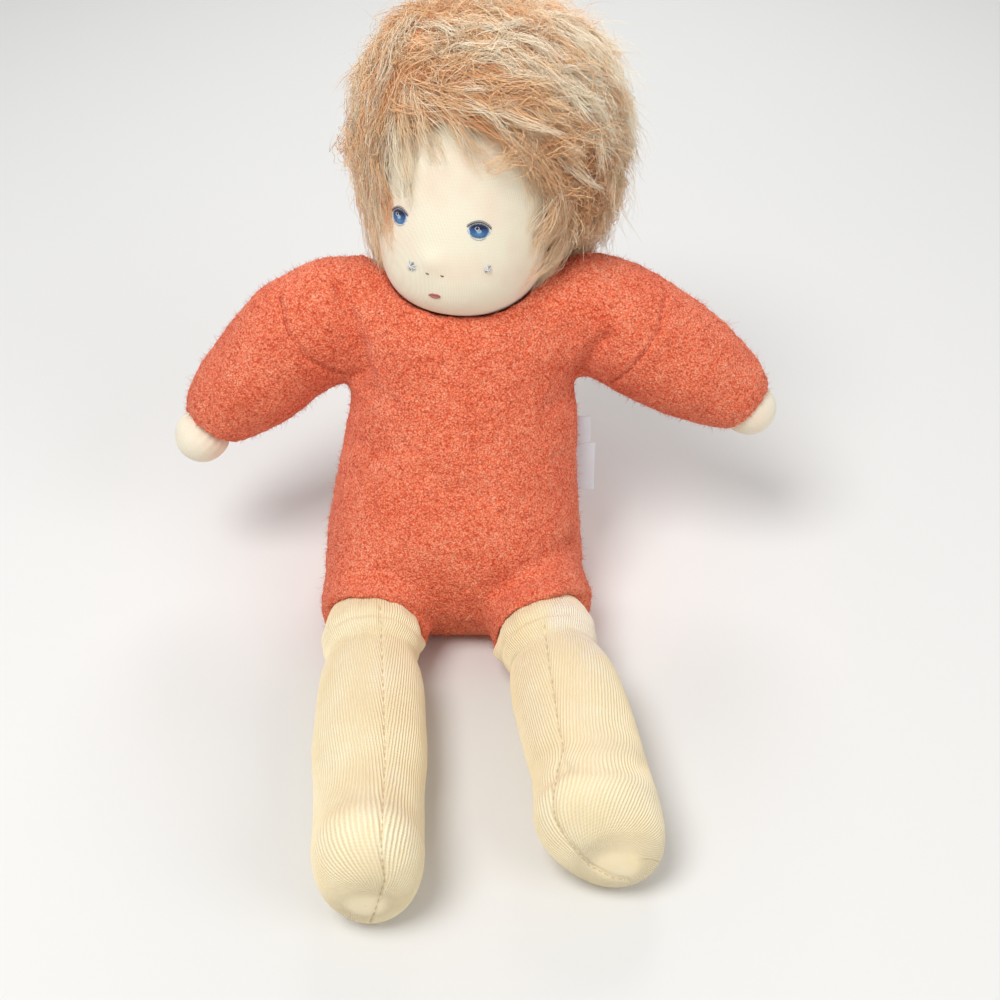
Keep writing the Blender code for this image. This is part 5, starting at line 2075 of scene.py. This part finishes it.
@dataclass
class Wig:
    """Long mohair: a cap with combed locks, a fringe and loose fibres."""

    centre: tuple = (0.5, 4.0, 62.0)
    locks: int = 760
    in_lock: int = 34
    in_fringe: int = 15
    steps: int = 9
    finish: Finish = Mohair()

    def measure(self) -> None:
        """Measures the wig's outside and the head's skin under it."""
        matrix = STANCE.head()
        self.whorl = unit(np.array([-0.30, 0.62, 0.72]))
        self.scalp = ReachTable(node_surface("head_skin"), matrix, self.centre)
        self.outer = ReachTable(node_surface("wig", "head_skin"), matrix, self.centre, 2)

    def roots(self, count: int, rng: np.random.Generator) -> np.ndarray:
        """Directions of roots, spread over the scalp above the hairline."""
        out = []
        while len(out) < count:
            way = unit(rng.normal(size=3))
            turn = math.degrees(math.atan2(way[0], -way[1]))
            rise = math.degrees(math.asin(way[2]))
            front = math.exp(-((turn / 62) ** 2))
            line = -34 + 62 * front
            if rise > line:
                out.append(way)
        return np.array(out)

    def flow(self, ways: np.ndarray) -> np.ndarray:
        """The direction that the hair is combed in, in the head's frame."""
        away = unit(ways - self.whorl * (ways @ self.whorl)[:, None])
        right = smooth_step(-0.55, 0.0, ways[:, 0])
        top = smooth_step(-0.15, 0.45, ways[:, 2])
        sweep = np.array([1.0, -0.1, 0.05])
        fall = np.array([-0.5, -0.2, -0.8])
        bias = sweep * (right * top)[:, None] * 1.9 + fall * ((1 - right) * 0.9)[:, None]
        bias = bias + np.array([0.2, -0.1, -0.8]) * ((1 - top) * 0.7)[:, None]
        way = away + bias
        way = way - ways * np.einsum("ij,ij->i", way, ways)[:, None]
        return unit(way)

    def guides(
        self, count: int, rng: np.random.Generator, height: tuple, length: tuple, crown=False
    ) -> np.ndarray:
        """Middle lines of locks, in the head's frame.

        Args:
            count: how many.
            rng: the random source.
            height: the least and greatest share of the way from the scalp to the wig's outside.
            length: the least and greatest length in millimetres.
            crown: whether they grow only round the crown, in every direction.

        Returns:
            count by steps by 3.
        """
        ways = self.roots(count, rng)
        if crown:
            ways = unit(self.whorl + rng.normal(size=ways.shape) * 0.24)
        level = rng.uniform(*height, count)
        reach = rng.uniform(*length, count)
        centre = np.array(self.centre)
        lines = np.zeros((count, self.steps, 3))
        left = smooth_step(-0.3, -0.75, ways[:, 0]) * smooth_step(-0.2, 0.3, ways[:, 2])
        level = level * (1 - 0.4 * left)
        swirl = rng.normal(size=(count, 3)) * (0.28 if length[0] > 20 else 0.9)
        now = ways
        for step in range(self.steps):
            t = step / (self.steps - 1)
            scalp, out = self.scalp(now), self.outer(now)
            rise = 1 - (1 - t) ** 3 if step else 0.0
            radius = scalp + 0.6 + (out - scalp - 0.6) * level * rise
            lines[:, step] = centre + now * radius[:, None]
            way = self.flow(now) + swirl * (0.6 + t)
            now = unit(now + unit(way) * (reach / (self.steps - 1) / radius)[:, None])
        return self.flicked(lines, reach, rng)

    def flicked(self, lines: np.ndarray, reach: np.ndarray, rng: np.random.Generator) -> np.ndarray:
        """Lets the tips of some locks leave the outline straight, most of them on the swept side."""
        side_way = (lines[:, -1, 0] - self.centre[0]) / 45
        chance = 0.12 + 0.75 * smooth_step(0.35, 0.9, side_way)
        free = rng.random(len(lines)) < chance
        bend = int(self.steps * 0.6)
        way = unit(lines[:, bend] - lines[:, bend - 2]) + np.array([0.0, -0.05, -0.12])
        step = reach / (self.steps - 1) * 0.9
        for index in range(bend + 1, self.steps):
            straight = lines[:, index - 1] + unit(way) * step[:, None]
            share = 0.75 * free[:, None]
            lines[:, index] = lines[:, index] * (1 - share) + straight * share
        return lines

    def lock(
        self,
        lines: np.ndarray,
        rng: np.random.Generator,
        fibres: int,
        spread: float,
        pinch: float,
        curl: float,
    ) -> np.ndarray:
        """Fibres round the middle lines, drawn together towards the tips."""
        count, steps, _ = lines.shape
        t = np.linspace(0, 1, steps)[None, :, None]
        turn = rng.uniform(0, 2 * np.pi, (count, 1, 3))
        sway = np.sin(turn + rng.uniform(0.8, 1.8, (count, 1, 3)) * t * 2 * np.pi)
        lines = lines + sway * t * (0.9 + 0.9 * (lines[:, :1, :1] < -8))
        many = np.repeat(lines, fibres, axis=0)
        offset = rng.normal(size=(len(many), 3)) * spread
        close = 1 - (1 - pinch) * t**0.8
        wave = rng.uniform(0, 2 * np.pi, (len(many), 1, 3))
        pace = rng.uniform(1.0, 2.4, (len(many), 1, 3))
        curls = np.sin(wave + pace * t * 2 * np.pi) * curl * (0.25 + t)
        slide = rng.normal(size=(len(many), 1, 1)) * 0.06
        stretch = 1 + slide * t
        base = many[:, :1]
        return base + (many - base) * stretch + offset[:, None] * close + curls

    def build(self) -> list:
        """The cap, the combed locks, the fringe and the loose fibres."""
        self.measure()
        rng = np.random.default_rng(7)
        made = [self.cap()]
        # The tone spans keep the under locks low on the ramp as painted shade beneath the upper locks, and
        # give the outer locks, fringe and loose fibres the palest tones, partly painted highlight.
        layers = (
            ("under", self.locks, (0.3, 0.62), (26, 46), 2.6, 0.42, 1.0, (0.0, 0.5)),
            ("upper", self.locks, (0.6, 0.88), (28, 56), 1.9, 0.16, 0.9, (0.3, 1.0)),
            ("short", 420, (0.55, 0.85), (13, 24), 3.2, 0.6, 1.5, (0.15, 0.85)),
            ("crown", 300, (0.5, 0.86), (16, 30), 2.6, 0.4, 1.2, (0.15, 0.9)),
        )
        for label, count, height, length, spread, pinch, curl, tone in layers:
            lines = self.guides(count, rng, height, length, label == "crown")
            paths = self.lock(lines, rng, self.in_lock, spread, pinch, curl)
            tones = self.tones(lines, rng, self.in_lock, tone)
            for part, index in enumerate(np.array_split(np.arange(len(paths)), 4)):
                made.append(self.hair(f"wig_{label}_{part}", paths[index], tones[index], 0.13))
        made.append(self.fringe(rng))
        made.append(self.loose(rng))
        return made

    def fringe(self, rng: np.random.Generator) -> bpy.types.Object:
        """Thin locks that hang over the forehead, parted above the right eye."""
        count = 380
        degrees = rng.uniform(-100, 104, count)
        turn = np.radians(degrees)
        rise = np.radians(-34 + 62 * np.exp(-((degrees / 62) ** 2)) + rng.uniform(-1, 15, count))
        now = np.stack((np.cos(rise) * np.sin(turn), -np.cos(rise) * np.cos(turn), np.sin(rise)), 1)
        swept = (smooth_step(-26, -8, degrees) * smooth_step(75, 40, degrees))[:, None]
        way = np.array([-0.2, 0.1, -1.0]) * (1 - swept) + np.array([1.0, 0.2, -0.5]) * swept
        way = way + rng.normal(size=way.shape) * 0.24
        reach = rng.uniform(25, 43, count) * (1 - 0.25 * np.exp(-(((degrees + 8) / 14) ** 2)))
        reach = reach * (1 - 0.24 * smooth_step(16, 46, degrees))
        lines = np.zeros((count, self.steps, 3))
        for step in range(self.steps):
            t = step / (self.steps - 1)
            radius = self.scalp(now) + 1.0 + 5.5 * math.sin(math.pi * min(1.0, 0.15 + t)) * 0.8
            lines[:, step] = np.array(self.centre) + now * radius[:, None]
            flat = way - now * np.einsum("ij,ij->i", way, now)[:, None]
            now = unit(now + unit(flat) * (reach / (self.steps - 1) / radius)[:, None])
        paths = self.lock(lines, rng, self.in_fringe, 1.9, 0.3, 0.9)
        tones = self.tones(lines, rng, self.in_fringe, (0.35, 1.0))
        return self.hair("wig_fringe", paths, tones, 0.08)

    def tones(self, lines: np.ndarray, rng: np.random.Generator, fibres: int, span: tuple) -> np.ndarray:
        """The tone of each fibre along its length."""
        middle = lines[:, self.steps // 2]
        patch = soft_noise(middle, 17.0, 61) * 0.5 + 0.5
        low, high = span
        base = low + (high - low) * np.clip(patch * 0.6 + rng.random(len(lines)) ** 2 * 0.7, 0, 1)
        base = np.repeat(base, fibres) + rng.normal(size=len(lines) * fibres) * 0.09
        t = np.linspace(0, 1, self.steps)
        return np.clip(base[:, None] + (t[None, :] - 0.4) * 0.3, 0, 1)

    def hair(self, name: str, paths: np.ndarray, tones: np.ndarray, thick: float) -> bpy.types.Object:
        """One object of fibres, given in the head's frame."""
        count, steps, _ = paths.shape
        world = moved(paths.reshape(-1, 3), STANCE.head()).reshape(paths.shape)
        taper = np.interp(np.linspace(0, 1, steps), [0, 0.2, 0.8, 1], [0.8, 1.0, 0.75, 0.15])
        radii = np.broadcast_to(taper * thick, (count, steps))
        return strands(name, world, radii, tones)

    def loose(self, rng: np.random.Generator) -> bpy.types.Object:
        """Fine stray fibres that stand off the outline."""
        lines = self.guides(900, rng, (0.8, 1.05), (24, 50))
        out = lines - np.array(self.centre)
        t = np.linspace(0, 1, self.steps)[None, :, None]
        lift = rng.uniform(0.0, 0.16, (len(lines), 1, 1))
        lines = np.array(self.centre) + out * (1 + lift * t**2)
        paths = self.lock(lines, rng, 1, 1.0, 1.0, 1.9)
        tones = self.tones(lines, rng, 1, (0.5, 1.0))
        return self.hair("wig_loose", paths, tones, 0.07)

    def cap(self) -> bpy.types.Object:
        """The knit cap that carries the pile, just over the head."""
        rows, columns = 60, 120
        angle = round_angles(columns)
        turn = (np.degrees(angle) + 180) % 360 - 180
        edge = -36 + 66 * np.exp(-((turn / 60) ** 2))
        share = np.linspace(0, 1, rows)[:, None]
        rise = np.radians(90 - (90 - edge) * share)
        ways = np.stack((np.cos(rise) * np.sin(angle), -np.cos(rise) * np.cos(angle), np.sin(rise)), 2)
        flat = ways.reshape(-1, 3)
        inner, outer = self.scalp(flat), self.outer(flat)
        radius = inner + 1.2 + np.clip(outer - inner - 1.2, 0, None) * 0.42 * np.repeat(
            1 - smooth_step(0.86, 1.0, share[:, 0]), columns
        )
        points = np.array(self.centre) + flat * radius[:, None]
        points = points + flat * (soft_noise(points, 3.0, 71) * 0.5)[:, None]
        world = moved(points, STANCE.head())
        # The cap's tone, low on the ramp, is painted shade under the locks.
        tint = np.clip(0.3 + soft_noise(points, 9.0, 72) * 0.2, 0, 1)
        obj = make_mesh("wig_cap", world, quads_of_grid(rows, columns, True), tint=tint)
        return obj

    def dress(self, made: list) -> None:
        """Finishes the wig; it rides on the head."""
        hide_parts("wig")
        for obj in made:
            self.finish.dress(obj)
            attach(obj, "head")


@dataclass
class Labels:
    """Two blank satin labels folded into the side seam."""

    thick: float = 0.35
    finish: Finish = WhiteSatin()

    TUCK = {"label_upper": 1.0, "label_lower": 2.8}

    def build(self) -> dict:
        """Each label as a soft sheet that stands out of the seam."""
        made, self.flats = {}, {}
        for name in self.TUCK:
            low, high = (np.array(c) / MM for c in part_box(name))
            node = points_of(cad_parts[name])
            middle = (low + high) / 2 - np.array((self.TUCK[name], 0, 0))
            spread = node - node.mean(0)
            _, _, axes = np.linalg.svd(spread, full_matrices=False)
            long_way, out_way, thin = axes
            sizes = [np.ptp(spread @ a) for a in axes]
            made[name] = self.sheet(name, middle, long_way, out_way, thin, sizes)
        return made

    def sheet(self, name: str, middle, long_way, out_way, thin, sizes) -> bpy.types.Object:
        """One label with a gentle curl, closed along its long edges and open at its two ends."""
        rows, columns = 26, 18
        v = np.linspace(-0.5, 0.5, rows)[:, None]
        u = np.linspace(-0.5, 0.5, columns)[None, :]
        curl = 0.5 * np.sin(u * 3.0 + 0.6) + 0.25 * np.sin(v * 6.0)
        middle = np.array(middle)
        base = (
            middle
            + (v * sizes[0])[:, :, None] * long_way
            + (u * sizes[1] + 0 * v)[:, :, None] * out_way
            + curl[:, :, None] * thin
        )
        front = base + thin * self.thick / 2
        back = base - thin * self.thick / 2
        ring = np.concatenate((front, back[:, ::-1]), axis=1)
        chart = np.stack(
            (
                np.concatenate((u * sizes[1] + 0 * v, -u * sizes[1] + 0 * v), 1),
                np.concatenate((v * sizes[0] + 0 * u, v * sizes[0] + 0 * u), 1),
            ),
            2,
        )
        obj = make_mesh(
            f"{name}_ribbon",
            ring.reshape(-1, 3),
            quads_of_grid(rows, 2 * columns, True),
            uv=chart.reshape(-1, 2),
        )
        self.flats[name] = [float(2 * sizes[1] * MM), float(sizes[0] * MM)]
        return obj

    def dress(self, made: dict) -> None:
        """Finishes the labels; they ride on the body."""
        for node, obj in made.items():
            self.finish.dress(obj)
            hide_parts(node)
            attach(obj, "body")


class Studio:
    """A plain pale floor, soft light and the photograph's camera."""

    def floor(self) -> None:
        """A wide sheet of paper under the doll."""
        edge = 3000.0
        points = np.array([(-edge, -edge, 0), (edge, -edge, 0), (edge, edge, 0), (-edge, edge, 0)])
        obj = make_mesh("floor", points, np.array([[0, 1, 2, 3]]))
        FloorPaper().dress(obj)

    def lamp(self, name: str, place, target, size: float, power: float) -> None:
        """One soft area light that points at a target."""
        data = bpy.data.lights.new(name, "AREA")
        data.shape = "DISK"
        data.size = size
        data.energy = power
        obj = bpy.data.objects.new(name, data)
        bpy.context.scene.collection.objects.link(obj)
        obj.location = place
        way = Vector(target) - Vector(place)
        obj.rotation_euler = way.to_track_quat("-Z", "Y").to_euler()

    def build(self) -> None:
        """Sets up the floor, lights, world and camera."""
        self.floor()
        scene = bpy.context.scene
        scene.view_settings.view_transform = "Standard"
        world = bpy.data.worlds.new("studio")
        scene.world = world
        world.use_nodes = True
        background = world.node_tree.nodes["Background"]
        background.inputs["Color"].default_value = (0.95, 0.97, 1.0, 1)
        background.inputs["Strength"].default_value = 0.42
        aim = (0, -0.02, 0.08)
        self.lamp("key", (-0.35, -0.35, 1.05), aim, 0.55, 8.5)
        self.lamp("fill", (0.8, -0.5, 0.7), aim, 0.7, 3.0)
        self.lamp("rim", (0.1, 0.8, 0.75), aim, 0.5, 3.0)
        data = bpy.data.cameras.new("camera")
        camera = bpy.data.objects.new("camera", data)
        scene.collection.objects.link(camera)
        data.sensor_width = LENS.sensor
        data.lens = LENS.sensor * LENS.focal / LENS.pixels
        data.clip_start = 0.01
        camera.location = Vector(LENS.place) * MM
        way = Vector(LENS.target) - Vector(LENS.place)
        camera.rotation_euler = way.to_track_quat("-Z", "Y").to_euler()
        scene.camera = camera


RIGHT_LEG = Leg(
    Side.RIGHT,
    first=9.0,
    last=92.0,
    seam=((380, 604), (383, 680), (385, 760), (381, 850), (385, 880), (376, 908), (369, 926)),
    folds=((((312, 775), (330, 784), (345, 786)), 9, 0.4),),
)
LEFT_LEG = Leg(
    Side.LEFT,
    first=9.0,
    last=80.0,
    seam=(
        (544, 622),
        (549, 663),
        (559, 728),
        (564, 750),
        (557, 772),
        (553, 800),
        (556, 822),
        (570, 843),
        (589, 865),
        (612, 877),
        (628, 880),
    ),
    folds=(
        (((564, 764), (552, 776), (535, 790)), 4, 1.5),
        (((562, 764), (600, 768), (645, 764)), 9, 0.8),
    ),
)


def main() -> None:
    """Builds and dresses every piece in turn."""
    suit = Suit()
    parts = suit.build()
    suit.dress(parts)
    log.info("suit: %s", ", ".join(parts))
    for leg, ear in ((RIGHT_LEG, 1.9), (LEFT_LEG, 2.5)):
        piece = leg.build()
        leg.dress(piece)
        band = HipBand(leg.side, leg.seam_angle, leg.seam, ear)
        sheet = band.build(piece)
        band.dress(sheet, band.stitches(sheet, piece))
        log.info("leg and hip band: %s", piece.name)
    for hand in (
        Hand(Side.RIGHT, first=58.0, last=70.0),
        Hand(Side.LEFT, first=61.0, last=72.5),
    ):
        hand.dress(hand.build())
        log.info("hand: %s", hand.side.word)
    neck = NeckRoll()
    neck.dress(neck.build())
    head = Head()
    cover = head.build()
    head.dress(cover)
    face = Face()
    face.dress(face.build(cover))
    log.info("head and face")
    wig = Wig()
    wig.dress(wig.build())
    log.info("wig")
    labels = Labels()
    labels.dress(labels.build())
    log.info("labels")
    Studio().build()


if __name__ == "__main__":
    main()
